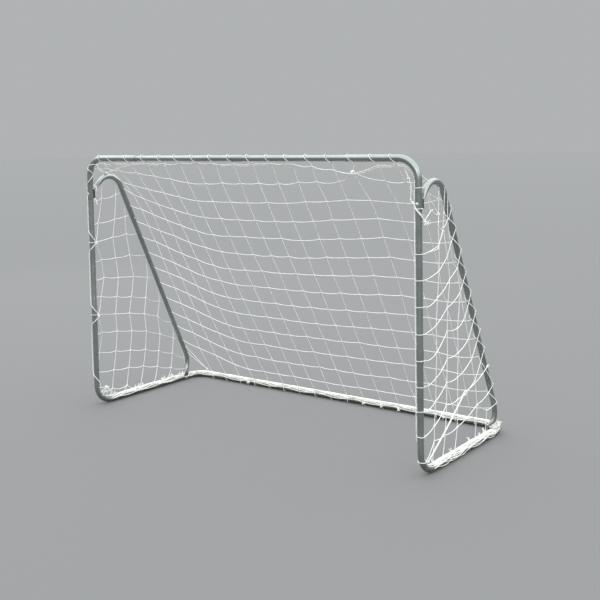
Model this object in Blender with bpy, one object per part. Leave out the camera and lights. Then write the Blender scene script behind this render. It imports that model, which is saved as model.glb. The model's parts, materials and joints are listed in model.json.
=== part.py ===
"""Garden soccer goal: a frame of plug-together steel tubes with two side hoops and a knotted net.

Frame: origin on the ground at the middle of the footprint, +X to the goal's right as seen from the field,
+Y from the goal mouth to the rear bar, +Z up. All sizes are in metres and all angles in degrees.
"""

import math

import bmesh
import bpy
from mathutils import Matrix, Vector

# overall size of the tube frame
GOAL_WIDTH = 1.83
GOAL_HEIGHT = 1.22
GOAL_DEPTH = 0.75

# tubes
SOCKET_DIAMETER = 0.028
SOCKET_WALL = 0.0012
TUBE_WALL = 0.001
FIT_GAP = 0.0003
BEND_RADIUS = 0.085
OVERLAP = 0.05
FLARE = 0.006
TUBE_SIDES = 16
BEND_STEPS = 6

# where the tubes are divided
CORNER_REACH = 0.321
CORNER_DROP = 0.196
LOWER_RISE = 0.426
REAR_REACH = 0.361

# side hoops
HOOP_TOP_BELOW_BAR = 0.0905
HOOP_SETBACK = 0.115
HOOP_FOOT_FORWARD = 0.119
HOOP_FOOT_ANGLE = 28.0
HOOP_FOOT_STRAIGHT = 0.052
HOOP_UPPER_LEG = 0.21
HOOP_BOLT_RISE = 0.026
TAB_WIDTH = 0.027
TAB_THICKNESS = 0.0025
TAB_HALF_LENGTH = 0.018
TAB_TIP_LENGTH = 0.008
TAB_TIP_WIDTH = 0.016

# snap buttons and their springs
BUTTON_DIAMETER = 0.0075
BUTTON_PROUD = 0.0035
BUTTON_SETBACK = 0.025
STRIP_WIDTH = 0.009
STRIP_THICKNESS = 0.0008
STRIP_FRONT = 0.008
STRIP_BACK = 0.026
STRIP_CLEARANCE = 0.0004

# bolts
BOLT_DIAMETER = 0.006
BOLT_HEAD_DIAMETER = 0.014
BOLT_HEAD_HEIGHT = 0.0034
WASHER_DIAMETER = 0.0125
WASHER_THICKNESS = 0.0012
NUT_ACROSS_FLATS = 0.010
NUT_HEIGHT = 0.006
BOLT_TAIL = 0.0025

# net and cords
NET_THICKNESS = 0.002
NET_CLEARANCE = 0.004
NET_COLUMNS = 16
NET_ROWS = 10
NET_BULGE_STARTS = 0.55
CORD_DIAMETER = 0.004
CORD_CLEARANCE = 0.0017

GAP = 0.0003

# values that follow from the ones above
SOCKET_RADIUS = SOCKET_DIAMETER / 2
SOCKET_BORE = SOCKET_RADIUS - SOCKET_WALL
TUBE_RADIUS = SOCKET_BORE - FIT_GAP
TUBE_BORE = TUBE_RADIUS - TUBE_WALL
HOOP_LOWER_RADIUS = TUBE_BORE - FIT_GAP
HOOP_LOWER_BORE = HOOP_LOWER_RADIUS - TUBE_WALL
SIDE_X = GOAL_WIDTH / 2 - SOCKET_RADIUS
BAR_Z = GOAL_HEIGHT - SOCKET_RADIUS
GROUND_Z = SOCKET_RADIUS
FRONT_Y = -GOAL_DEPTH / 2 + SOCKET_RADIUS
REAR_Y = GOAL_DEPTH / 2 - SOCKET_RADIUS
CROSS_JOINT_X = SIDE_X - CORNER_REACH
HIGH_JOINT_Z = BAR_Z - CORNER_DROP
LOW_JOINT_Z = GROUND_Z + LOWER_RISE
SIDE_JOINT_Y = REAR_Y - REAR_REACH
BOLT_Z = HIGH_JOINT_Z + HOOP_BOLT_RISE
TAB_Y = FRONT_Y + SOCKET_RADIUS + GAP + TAB_THICKNESS / 2
TAB_INSET = SOCKET_RADIUS + GAP + TAB_THICKNESS / 2
FOOT_BOLT_Y = REAR_Y - HOOP_FOOT_FORWARD

# sections of a tube: (half width across its plane, half depth in its plane, bore radius or None where solid)
SOCKET = (SOCKET_RADIUS, SOCKET_RADIUS, SOCKET_BORE)
TUBE = (TUBE_RADIUS, TUBE_RADIUS, TUBE_BORE)
LOWER = (HOOP_LOWER_RADIUS, HOOP_LOWER_RADIUS, HOOP_LOWER_BORE)
TOP_TAB = (TAB_WIDTH / 2, TAB_THICKNESS / 2, None)
FOOT_TAB = (TAB_THICKNESS / 2, TAB_WIDTH / 2, None)
FOOT_TIP = (TAB_THICKNESS / 2, TAB_TIP_WIDTH / 2, None)


# ---------- materials ----------

def make_material(name, color, roughness, metallic):
    material = bpy.data.materials.new(name)
    material.use_nodes = True
    shader = material.node_tree.nodes["Principled BSDF"]
    shader.inputs["Base Color"].default_value = (*color, 1.0)
    shader.inputs["Roughness"].default_value = roughness
    shader.inputs["Metallic"].default_value = metallic
    return material


# ---------- shared mesh helpers ----------

def add_object(name, mesh_builder, material, smooth_angle=35.0):
    mesh = bpy.data.meshes.new(name)
    bmesh.ops.recalc_face_normals(mesh_builder, faces=mesh_builder.faces)
    mesh_builder.to_mesh(mesh)
    mesh_builder.free()
    mesh.shade_smooth()
    mesh.set_sharp_from_angle(angle=math.radians(smooth_angle))
    if material:
        mesh.materials.append(material)
    obj = bpy.data.objects.new(name, mesh)
    bpy.context.scene.collection.objects.link(obj)
    return obj


def make_cutter(obj):
    obj.hide_render = True
    obj.display_type = "WIRE"
    return obj


def add_boolean(target, tool, operation):
    modifier = target.modifiers.new(f"{operation.lower()} {tool.name}", "BOOLEAN")
    modifier.operation = operation
    modifier.solver = "EXACT"
    modifier.object = tool


def axis_frame(origin, forward, up):
    """A matrix with X along forward and Z along up."""
    x = Vector(forward).normalized()
    z = Vector(up).normalized()
    y = z.cross(x)
    frame = Matrix((x, y, z)).transposed().to_4x4()
    frame.translation = Vector(origin)
    return frame


def drill(targets, name, frame, radius, low, high):
    """Cuts a round hole along the frame's Z, from low to high, in every target."""
    builder = bmesh.new()
    middle = Matrix.Translation((0, 0, (low + high) / 2))
    bmesh.ops.create_cone(builder, cap_ends=True, segments=12, radius1=radius, radius2=radius,
                          depth=high - low, matrix=middle)
    tool = make_cutter(add_object(name, builder, None))
    tool.matrix_world = frame
    for target in targets:
        add_boolean(target, tool, "DIFFERENCE")


def turned(name, profile, material, sides=12):
    """A solid of revolution about Z. The profile runs from a point on the axis to another one."""
    builder = bmesh.new()
    points = [builder.verts.new((radius, 0, z)) for radius, z in profile]
    edges = [builder.edges.new(pair) for pair in zip(points, points[1:])]
    bmesh.ops.spin(builder, geom=points + edges, cent=(0, 0, 0), axis=(0, 0, 1),
                   angle=2 * math.pi, steps=sides, use_merge=True)
    bmesh.ops.remove_doubles(builder, verts=builder.verts, dist=1e-6)
    return add_object(name, builder, material)


# ---------- tubes ----------

def walk(start, heading, steps):
    """Stations along a flat path as (point, heading, section, across).

    Each step is ("straight", length, section, across) or ("bend", radius, turn, section, across). The section
    and the offset across the plane are reached at the step's end. A bend turns the heading by turn degrees.
    """
    point, angle = Vector(start), math.radians(heading)
    stations = []
    for step in steps:
        kind, size = step[:2]
        if kind == "straight":
            section, across = step[2:]
            point = point + size * Vector((math.cos(angle), math.sin(angle)))
            stations.append((point, angle, section, across))
            continue
        turn, section, across = step[2:]
        side = 1 if turn > 0 else -1
        to_centre = angle + side * math.pi / 2
        centre = point + size * Vector((math.cos(to_centre), math.sin(to_centre)))
        count = max(2, math.ceil(abs(turn) / (90 / BEND_STEPS)))
        first_section, first_across = stations[-1][2:]
        for i in range(1, count + 1):
            share = i / count
            swept = math.radians(turn) * share
            out = to_centre + math.pi + swept
            here = centre + size * Vector((math.cos(out), math.sin(out)))
            mixed = mix_section(first_section, section, share)
            stations.append((here, angle + swept, mixed, first_across + (across - first_across) * share))
        point, angle = stations[-1][0], angle + math.radians(turn)
    return stations


def mix_section(first, last, share):
    """The section between two: its bore is kept only where both have one."""
    a, b = (p + (q - p) * share for p, q in zip(first[:2], last[:2]))
    if first[2] is None or last[2] is None:
        return a, b, None
    return a, b, first[2] + (last[2] - first[2]) * share


def ring(builder, station, radii, to_world):
    point, angle, _, across = station
    normal = Vector((-math.sin(angle), math.cos(angle)))
    verts = []
    for i in range(TUBE_SIDES):
        turn = 2 * math.pi * (i + 0.5) / TUBE_SIDES
        flat = point + normal * (radii[1] * math.sin(turn))
        verts.append(builder.verts.new(to_world(flat.x, flat.y, across + radii[0] * math.cos(turn))))
    return verts


def join_rings(builder, first, second):
    for i in range(TUBE_SIDES):
        j = (i + 1) % TUBE_SIDES
        builder.faces.new((first[i], first[j], second[j], second[i]))


def tube(name, stations, to_world, material):
    """A tube with its bore open wherever its first or last station has one, and solid where it is crimped."""
    builder = bmesh.new()
    outer = [ring(builder, s, s[2][:2], to_world) for s in stations]
    inner = [ring(builder, s, (s[2][2], s[2][2]), to_world) if s[2][2] else None for s in stations]
    for line in (outer, inner):
        for first, second in zip(line, line[1:]):
            if first and second:
                join_rings(builder, first, second)
    for end in (0, -1):
        if inner[end]:
            join_rings(builder, outer[end], inner[end])
        else:
            builder.faces.new(outer[end])
    for before, here, after in zip([1] + inner, inner, inner[1:] + [1]):
        if here and not (before and after):
            builder.faces.new(here)
    return add_object(name, builder, material)


def steps_with_start(section, *steps):
    return [("straight", 0.0, section, 0.0), *steps]


def corner_tube(name, side, material):
    """Crossbar end, bend and the top of the upright, open at both ends."""
    def to_world(u, v, w):
        return side * u, FRONT_Y + w, v

    steps = steps_with_start(
        SOCKET,
        ("straight", CORNER_REACH - BEND_RADIUS, SOCKET, 0.0),
        ("bend", BEND_RADIUS, -90, SOCKET, 0.0),
        ("straight", CORNER_DROP - BEND_RADIUS, SOCKET, 0.0))
    return tube(name, walk((CROSS_JOINT_X, BAR_Z), 0, steps), to_world, material)


def bar_tube(name, side, y, z, socket_end, material):
    """A middle tube of the crossbar or the rear bar. One of each pair ends in a socket at the centre."""
    def to_world(u, v, w):
        return side * u, y + w, z + v

    outer_end = CROSS_JOINT_X + OVERLAP
    if socket_end:
        start = 0.0
        steps = [("straight", 0.0, SOCKET, 0.0),
                 ("straight", OVERLAP, SOCKET, 0.0),
                 ("straight", FLARE, TUBE, 0.0),
                 ("straight", outer_end - OVERLAP - FLARE, TUBE, 0.0)]
    else:
        start = -OVERLAP
        steps = [("straight", 0.0, TUBE, 0.0), ("straight", outer_end + OVERLAP, TUBE, 0.0)]
    return tube(name, walk((start, 0.0), 0, steps), to_world, material)


def upright_tube(name, side, material):
    """The upright between the corner tube and the lower front tube, with a socket at its lower end."""
    def to_world(u, v, w):
        return side * SIDE_X + w, FRONT_Y + v, u

    top = HIGH_JOINT_Z + OVERLAP
    steps = [("straight", 0.0, SOCKET, 0.0),
             ("straight", OVERLAP, SOCKET, 0.0),
             ("straight", FLARE, TUBE, 0.0),
             ("straight", top - LOW_JOINT_Z - OVERLAP - FLARE, TUBE, 0.0)]
    return tube(name, walk((LOW_JOINT_Z, 0.0), 0, steps), to_world, material)


def lower_front_tube(name, side, material):
    """The foot of the upright, the bottom bend and the front half of the side ground tube."""
    def to_world(u, v, w):
        return side * SIDE_X + w, u, v

    top = LOW_JOINT_Z + OVERLAP
    run = SIDE_JOINT_Y + OVERLAP - FRONT_Y - BEND_RADIUS
    steps = steps_with_start(
        TUBE,
        ("straight", top - GROUND_Z - BEND_RADIUS, TUBE, 0.0),
        ("bend", BEND_RADIUS, 90, TUBE, 0.0),
        ("straight", run, TUBE, 0.0))
    return tube(name, walk((FRONT_Y, top), -90, steps), to_world, material)


def rear_corner_tube(name, side, material):
    """The rear half of the side ground tube, the bend and the end of the rear bar, open at both ends."""
    def to_world(u, v, w):
        return side * u, v, GROUND_Z + w

    steps = steps_with_start(
        SOCKET,
        ("straight", REAR_REACH - BEND_RADIUS, SOCKET, 0.0),
        ("bend", BEND_RADIUS, 90, SOCKET, 0.0),
        ("straight", CORNER_REACH - BEND_RADIUS, SOCKET, 0.0))
    return tube(name, walk((SIDE_X, SIDE_JOINT_Y), 90, steps), to_world, material)


# ---------- side hoops ----------

def hoop_line():
    """The hoop's centreline in its own plane, as points (y, z) and headings in degrees from +Y."""
    arch = Vector((FRONT_Y + HOOP_SETBACK, BAR_Z - HOOP_TOP_BELOW_BAR - BEND_RADIUS))
    foot = math.radians(HOOP_FOOT_ANGLE)
    bolt = Vector((FOOT_BOLT_Y, GROUND_Z))
    bend_end = bolt + HOOP_FOOT_STRAIGHT * Vector((math.sin(foot), math.cos(foot)))
    bend = bend_end - BEND_RADIUS * Vector((math.cos(foot), -math.sin(foot)))
    run = bend - arch
    leg = math.atan2(run.y, run.x)
    side = Vector((-math.sin(leg), math.cos(leg)))
    tab_top = Vector((TAB_Y, BOLT_Z + TAB_HALF_LENGTH))
    away = tab_top - arch
    touch = math.atan2(away.y, away.x) - math.acos(BEND_RADIUS / away.length)
    return {
        "arch": arch,
        "bend": bend,
        "leg_heading": math.degrees(leg),
        "leg_start": arch + BEND_RADIUS * side,
        "leg_end": bend + BEND_RADIUS * side,
        "tab_top": tab_top,
        "neck_end": arch + BEND_RADIUS * Vector((math.cos(touch), math.sin(touch))),
        "neck_heading": math.degrees(touch) - 90,
    }


def hoop_plane(side):
    def to_world(u, v, w):
        return side * (SIDE_X + w), u, v

    return to_world


def hoop_upper_tube(name, side, material):
    """Crimped tab, neck, arch and the first stretch of the slanted leg, open at its lower end."""
    line = hoop_line()
    neck = (line["neck_end"] - line["tab_top"]).length
    steps = [("straight", HOOP_UPPER_LEG, TUBE, 0.0)]
    stations = walk((TAB_Y, BOLT_Z - TAB_HALF_LENGTH), 90,
                    [("straight", 0.0, TOP_TAB, 0.0), ("straight", 2 * TAB_HALF_LENGTH, TOP_TAB, 0.0)])
    heading = math.radians(line["neck_heading"])
    for share in (0.35, 0.7):
        point = line["tab_top"] + (line["neck_end"] - line["tab_top"]) * share
        stations.append((point, heading, mix_section(TOP_TAB, (TUBE_RADIUS, TUBE_RADIUS, None), share), 0.0))
    begin = line["tab_top"] + (line["neck_end"] - line["tab_top"]) * (1 - FLARE / neck)
    turn = line["leg_heading"] - line["neck_heading"]
    arch = [("straight", 0.0, TUBE, 0.0), ("straight", FLARE, TUBE, 0.0), ("bend", BEND_RADIUS, turn, TUBE, 0.0)]
    stations += walk(begin, line["neck_heading"], arch + steps)
    return tube(name, stations, hoop_plane(side), material)


def hoop_lower_tube(name, side, material):
    """The rest of the slanted leg, the foot bend and the crimped foot beside the ground tube."""
    line = hoop_line()
    down = Vector((math.cos(math.radians(line["leg_heading"])), math.sin(math.radians(line["leg_heading"]))))
    start = line["leg_start"] + down * (HOOP_UPPER_LEG - OVERLAP)
    turn = -90 - HOOP_FOOT_ANGLE - line["leg_heading"]
    crimp = mix_section(LOWER, FOOT_TAB, 0.35)
    steps = [("straight", 0.0, LOWER, 0.0),
             ("straight", (line["leg_end"] - start).length, LOWER, 0.0),
             ("bend", BEND_RADIUS, turn / 2, LOWER, 0.0),
             ("bend", BEND_RADIUS, turn / 2, crimp, -0.3 * TAB_INSET),
             ("straight", 0.45 * HOOP_FOOT_STRAIGHT, FOOT_TAB, -TAB_INSET),
             ("straight", 0.55 * HOOP_FOOT_STRAIGHT, FOOT_TAB, -TAB_INSET),
             ("straight", TAB_TIP_LENGTH, FOOT_TIP, -TAB_INSET)]
    return tube(name, walk(start, line["leg_heading"], steps), hoop_plane(side), material)


# ---------- snap joints ----------

def strip_level(bore):
    """Distance from the tube's axis to the outer face of a spring leg that lies inside the bore."""
    flat = (bore - STRIP_CLEARANCE) * math.cos(math.pi / TUBE_SIDES)
    return math.sqrt(flat ** 2 - (STRIP_WIDTH / 2) ** 2)


def snap_button(name, frame, outer, bore, material):
    """A domed button riveted to the free leg of its spring, in the joint's own frame."""
    level = strip_level(bore)
    radius = BUTTON_DIAMETER / 2
    tip = outer + BUTTON_PROUD
    dome = 0.5 * radius
    builder = bmesh.new()
    length = STRIP_FRONT + STRIP_BACK - GAP
    place = Matrix.Translation((length / 2 - STRIP_FRONT, 0, level - STRIP_THICKNESS / 2))
    bmesh.ops.create_cube(builder, size=1, matrix=place @ Matrix.Diagonal((length, STRIP_WIDTH, STRIP_THICKNESS, 1)))
    strip = add_object(name, builder, material)
    profile = [(0, level - STRIP_THICKNESS / 2), (radius, level - STRIP_THICKNESS / 2), (radius, tip - dome),
               (0.72 * radius, tip - 0.3 * dome), (0, tip)]
    pin = make_cutter(turned(f"{name}_pin_tool", profile, material))
    add_boolean(strip, pin, "UNION")
    strip.matrix_world = frame
    pin.matrix_world = frame
    return strip


def button_spring(name, frame, bore, material):
    """The fixed leg of the spring and its bend, which the button's free leg continues."""
    level = strip_level(bore) - STRIP_THICKNESS / 2
    half = STRIP_THICKNESS / 2
    outline = [(-STRIP_FRONT, -level - half), (STRIP_BACK, -level - half)]
    turns = [math.radians(-90 + 30 * i) for i in range(1, 6)]
    outline += [(STRIP_BACK + (level + half) * math.cos(t), (level + half) * math.sin(t)) for t in turns]
    outline += [(STRIP_BACK, level + half), (STRIP_BACK, level - half)]
    outline += [(STRIP_BACK + (level - half) * math.cos(t), (level - half) * math.sin(t)) for t in reversed(turns)]
    outline += [(STRIP_BACK, -level + half), (-STRIP_FRONT, -level + half)]
    builder = bmesh.new()
    face = builder.faces.new([builder.verts.new((x, -STRIP_WIDTH / 2, z)) for x, z in outline])
    grown = bmesh.ops.extrude_face_region(builder, geom=[face])["geom"]
    moved = [part for part in grown if isinstance(part, bmesh.types.BMVert)]
    bmesh.ops.translate(builder, verts=moved, vec=(0, STRIP_WIDTH, 0))
    spring = add_object(name, builder, material)
    spring.matrix_world = frame
    return spring


def add_snap_joint(joint, outer_tube, inner_tube, metal, spring_steel):
    """Drills both tubes and puts the button and its spring inside the inner one.

    joint gives its name, the button's point on the tube's axis, the direction into the inner tube, the
    direction the button faces, and the outer radius and the inner tube's bore there.
    """
    frame = axis_frame(joint["at"], joint["into"], joint["faces"])
    radius = BUTTON_DIAMETER / 2 + FIT_GAP
    drill([outer_tube, inner_tube], f"{joint['name']}_hole_tool", frame, radius, 0.004, joint["outer"] + 0.01)
    snap_button(f"{joint['name']}_button", frame, joint["outer"], joint["bore"], metal)
    button_spring(f"{joint['name']}_spring", frame, joint["bore"], spring_steel)


def hoop_joint_point():
    line = hoop_line()
    angle = math.radians(line["leg_heading"])
    down = Vector((math.cos(angle), math.sin(angle)))
    return line["leg_start"] + down * (HOOP_UPPER_LEG - BUTTON_SETBACK), down


def snap_joints():
    """Every button joint, by name, with the two tubes that it locks."""
    backwards = (0, 1, 0)
    bars = (("crossbar", FRONT_Y, BAR_Z, "corner"), ("rear_bar", REAR_Y, GROUND_Z, "rear_corner"))
    for bar, y, z, corner in bars:
        yield {"name": f"{bar}_centre", "at": (OVERLAP - BUTTON_SETBACK, y, z),
               "into": (-1, 0, 0), "faces": backwards, "outer": SOCKET_RADIUS, "bore": TUBE_BORE,
               "tubes": (f"{bar}_right", f"{bar}_left")}
        for label, side in (("left", -1), ("right", 1)):
            yield {"name": f"{bar}_{label}", "at": (side * (CROSS_JOINT_X + OVERLAP - BUTTON_SETBACK), y, z),
                   "into": (-side, 0, 0), "faces": backwards, "outer": SOCKET_RADIUS, "bore": TUBE_BORE,
                   "tubes": (f"{corner}_{label}", f"{bar}_{label}")}
    hoop_point, hoop_down = hoop_joint_point()
    for label, side in (("left", -1), ("right", 1)):
        yield {"name": f"upright_{label}", "at": (side * SIDE_X, FRONT_Y, LOW_JOINT_Z + OVERLAP - BUTTON_SETBACK),
               "into": (0, 0, -1), "faces": backwards, "outer": SOCKET_RADIUS, "bore": TUBE_BORE,
               "tubes": (f"upright_{label}", f"lower_front_{label}")}
        yield {"name": f"side_{label}", "at": (side * SIDE_X, SIDE_JOINT_Y + OVERLAP - BUTTON_SETBACK, GROUND_Z),
               "into": (0, -1, 0), "faces": (-side, 0, 0), "outer": SOCKET_RADIUS, "bore": TUBE_BORE,
               "tubes": (f"rear_corner_{label}", f"lower_front_{label}")}
        yield {"name": f"hoop_{label}", "at": (side * SIDE_X, hoop_point.x, hoop_point.y),
               "into": (0, hoop_down.x, hoop_down.y), "faces": (-side, 0, 0), "outer": TUBE_RADIUS,
               "bore": HOOP_LOWER_BORE, "tubes": (f"hoop_upper_{label}", f"hoop_lower_{label}")}


# ---------- bolts ----------

def carriage_bolt(name, frame, tail, material):
    """A domed head above the tube's surface and a shank down to tail below the axis."""
    seat = SOCKET_RADIUS + GAP
    head, shank = BOLT_HEAD_DIAMETER / 2, BOLT_DIAMETER / 2
    profile = [(0, -tail), (shank, -tail), (shank, seat), (head, seat), (0.82 * head, seat + 0.55 * BOLT_HEAD_HEIGHT),
               (0.45 * head, seat + 0.9 * BOLT_HEAD_HEIGHT), (0, seat + BOLT_HEAD_HEIGHT)]
    bolt = turned(name, profile, material)
    bolt.matrix_world = frame
    return bolt


def bored_disc(name, frame, radius, sides, high, thickness, material):
    """A washer or a nut on the shank, its upper face high below the axis."""
    builder = bmesh.new()
    middle = Matrix.Translation((0, 0, -high - thickness / 2))
    bmesh.ops.create_cone(builder, cap_ends=True, segments=sides, radius1=radius, radius2=radius,
                          depth=thickness, matrix=middle)
    disc = add_object(name, builder, material)
    disc.matrix_world = frame
    drill([disc], f"{name}_hole_tool", frame, BOLT_DIAMETER / 2 + GAP, -high - 2 * thickness, thickness - high)
    return disc


def add_bolt(name, frame, drilled, steel):
    """A bolt through a ground tube or upright and the crimped tab behind it, with its washer and nut."""
    washer_top = SOCKET_RADIUS + TAB_THICKNESS + 2 * GAP
    nut_top = washer_top + WASHER_THICKNESS + GAP
    tail = nut_top + NUT_HEIGHT + BOLT_TAIL
    drill(drilled, f"{name}_hole_tool", frame, BOLT_DIAMETER / 2 + FIT_GAP, -tail, SOCKET_RADIUS + 0.01)
    carriage_bolt(f"{name}_bolt", frame, tail, steel)
    bored_disc(f"{name}_washer", frame, WASHER_DIAMETER / 2, 16, washer_top, WASHER_THICKNESS, steel)
    nut_radius = NUT_ACROSS_FLATS / 2 / math.cos(math.pi / 6)
    bored_disc(f"{name}_nut", frame, nut_radius, 6, nut_top, NUT_HEIGHT, steel)


# ---------- net ----------

def hoop_outline_for_net():
    """The inner edge of the hoop as seen by the side net, from the arch down to the foot."""
    line = hoop_line()
    clear = TUBE_RADIUS + NET_CLEARANCE
    leg = math.radians(line["leg_heading"])
    inner = BEND_RADIUS - clear
    points = []
    steps = 6
    last = leg + math.pi / 2
    for i in range(steps + 1):
        turn = math.radians(180) + (last - math.radians(180)) * i / steps
        points.append(line["arch"] + inner * Vector((math.cos(turn), math.sin(turn))))
    foot_turn = math.radians(-HOOP_FOOT_ANGLE)
    for i in range(4):
        turn = last + (foot_turn - last) * i / 3
        points.append(line["bend"] + inner * Vector((math.cos(turn), math.sin(turn))))
    return points


def side_net(name, side, material):
    """A flat panel between upright, hoop and ground tube, standing for the knotted net there."""
    front = FRONT_Y + SOCKET_RADIUS + BUTTON_PROUD + NET_CLEARANCE
    low = GROUND_Z + SOCKET_RADIUS + NET_CLEARANCE
    high = BOLT_Z - TAB_HALF_LENGTH - NET_CLEARANCE
    hoop = hoop_outline_for_net()
    foot = HOOP_FOOT_STRAIGHT * math.sin(math.radians(HOOP_FOOT_ANGLE)) + TAB_WIDTH / 2 + NET_CLEARANCE
    bend = Vector((FRONT_Y + BEND_RADIUS, GROUND_Z + BEND_RADIUS))
    inner = BEND_RADIUS - SOCKET_RADIUS - BUTTON_PROUD - NET_CLEARANCE
    turns = [math.radians(270 - 30 * i) for i in range(4)]
    outline = [(bend.x + inner * math.cos(t), bend.y + inner * math.sin(t)) for t in turns]
    outline += [(front, high), (hoop[0].x, high)] + [(p.x, p.y) for p in hoop]
    outline.append((hoop[-1].x - foot / 2, low))
    builder = bmesh.new()
    left_face = side * SIDE_X - NET_THICKNESS / 2
    face = builder.faces.new([builder.verts.new((left_face, y, z)) for y, z in outline])
    grown = bmesh.ops.extrude_face_region(builder, geom=[face])["geom"]
    moved = [part for part in grown if isinstance(part, bmesh.types.BMVert)]
    bmesh.ops.translate(builder, verts=moved, vec=(NET_THICKNESS, 0, 0))
    return add_object(name, builder, material)


def along_line(points, share):
    """The point at a share of the length of a broken line."""
    lengths = [(b - a).length for a, b in zip(points, points[1:])]
    left = share * sum(lengths)
    for (a, b), length in zip(zip(points, points[1:]), lengths):
        if left <= length:
            return a + (b - a) * (left / length)
        left -= length
    return points[-1]


def smooth_step(value, low, high):
    share = min(1.0, max(0.0, (value - low) / (high - low)))
    return share * share * (3 - 2 * share)


def back_net(name, material):
    """The sloping panel from the crossbar to the rear bar. Near the sides it bulges out over the hoop legs.

    Its top and bottom edges turn in with the tubes' corner bends.
    """
    line = hoop_line()
    behind = SOCKET_RADIUS + BUTTON_PROUD + NET_CLEARANCE
    top = Vector((FRONT_Y + behind, BAR_Z))
    bottom = Vector((REAR_Y, GROUND_Z + behind))
    crown = line["arch"] + Vector((0, BEND_RADIUS + behind))
    side_line = [top, crown, line["leg_start"], line["leg_end"], bottom]
    edge = SIDE_X - behind
    builder = bmesh.new()
    rows = []
    for i in range(NET_ROWS + 1):
        share = i / NET_ROWS
        middle = top + (bottom - top) * share
        outside = along_line(side_line, share)
        row = []
        for j in range(NET_COLUMNS + 1):
            x = edge * (2 * j / NET_COLUMNS - 1)
            here = middle + (outside - middle) * smooth_step(abs(x) / edge, NET_BULGE_STARTS, 1.0)
            past_bend = max(0.0, abs(x) - (SIDE_X - BEND_RADIUS))
            drop = BEND_RADIUS - math.sqrt(BEND_RADIUS ** 2 - past_bend ** 2)
            row.append(builder.verts.new((x, here.x - drop * share ** 6, here.y - drop * (1 - share) ** 6)))
        rows.append(row)
    for first, second in zip(rows, rows[1:]):
        for j in range(NET_COLUMNS):
            builder.faces.new((first[j], second[j], second[j + 1], first[j + 1]))
    net = add_object(name, builder, material)
    solidify = net.modifiers.new("net thickness", "SOLIDIFY")
    solidify.thickness = NET_THICKNESS
    solidify.offset = 0
    return net


# ---------- cords ----------

def smooth_route(points, spacing):
    """Points every spacing or so along a smooth curve through the given points."""
    route = []
    for i in range(len(points) - 1):
        p0, p1, p2, p3 = (Vector(points[min(max(k, 0), len(points) - 1)]) for k in range(i - 1, i + 3))
        count = max(1, round((p2 - p1).length / spacing))
        for k in range(count):
            t = k / count
            route.append(0.5 * (2 * p1 + (p2 - p0) * t + (2 * p0 - 5 * p1 + 4 * p2 - p3) * t ** 2
                                + (3 * p1 - p0 - 3 * p2 + p3) * t ** 3))
    route.append(Vector(points[-1]))
    return route


def cord(name, points, spacing, material):
    curve = bpy.data.curves.new(name, "CURVE")
    curve.dimensions = "3D"
    curve.bevel_depth = CORD_DIAMETER / 2
    curve.bevel_resolution = 2
    curve.use_fill_caps = True
    route = smooth_route(points, spacing)
    spline = curve.splines.new("POLY")
    spline.points.add(len(route) - 1)
    for point, place in zip(spline.points, route):
        point.co = (*place, 1)
    curve.materials.append(material)
    obj = bpy.data.objects.new(name, curve)
    bpy.context.scene.collection.objects.link(obj)
    return obj


def mouth_hem_route():
    """Up the inside of the left upright, under the crossbar and down the inside of the right upright."""
    inset = SOCKET_RADIUS + CORD_CLEARANCE + CORD_DIAMETER / 2
    radius = BEND_RADIUS - inset
    side = SIDE_X - inset
    low = GROUND_Z + 0.04
    heights = [low + (BAR_Z - BEND_RADIUS - low) * i / 4 for i in range(5)]
    turns = [math.radians(90 * i / 4) for i in range(1, 4)]
    corner = [(SIDE_X - BEND_RADIUS + radius * math.cos(t), BAR_Z - BEND_RADIUS + radius * math.sin(t)) for t in turns]
    half = [(side, z) for z in heights] + corner
    bar = [(SIDE_X - BEND_RADIUS) * share for share in (1.0, 0.5, 0.0, -0.5, -1.0)]
    flat = half + [(x, BAR_Z - inset) for x in bar] + [(-x, z) for x, z in reversed(half)]
    return [(-x, FRONT_Y, z) for x, z in flat]


def ground_rope_route():
    """Along the outer upper edge of the ground tubes, round both rear corners."""
    away = (SOCKET_RADIUS + CORD_CLEARANCE + CORD_DIAMETER / 2) / math.sqrt(2)
    z = GROUND_Z + away
    radius = BEND_RADIUS + away
    x, y = SIDE_X - BEND_RADIUS, REAR_Y - BEND_RADIUS
    start = FRONT_Y + BEND_RADIUS
    half = [(x + radius, start + (y - start) * i / 3) for i in range(4)]
    turns = [math.radians(90 * i / 4) for i in range(1, 4)]
    half += [(x + radius * math.cos(t), y + radius * math.sin(t)) for t in turns]
    half += [(x, y + radius), (x / 2, y + radius), (0.0, y + radius)]
    right = [(px, py, z) for px, py in half]
    return right + [(-px, py, pz) for px, py, pz in reversed(right[:-1])]


def tie_cord_route():
    """From the lower front bend of the right side up across the side net to the hoop leg."""
    x = SIDE_X + NET_THICKNESS / 2 + CORD_CLEARANCE + CORD_DIAMETER / 2
    line = hoop_line()
    end = line["leg_start"] + (line["leg_end"] - line["leg_start"]) * 0.62
    start = Vector((FRONT_Y + SOCKET_RADIUS + 0.05, GROUND_Z + 0.08))
    middle = Vector((start.x + 0.62 * (end.x - start.x), start.y + 0.82 * (end.y - start.y)))
    last = end - Vector((TUBE_RADIUS + 2 * NET_CLEARANCE, 0))
    flat = [start, start + (middle - start) * 0.35, start + (middle - start) * 0.7, middle,
            middle + (last - middle) * 0.5, last]
    return [(x, p.x, p.y) for p in flat]


# ---------- the goal ----------

def clear_scene():
    for obj in list(bpy.data.objects):
        bpy.data.objects.remove(obj, do_unlink=True)


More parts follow.
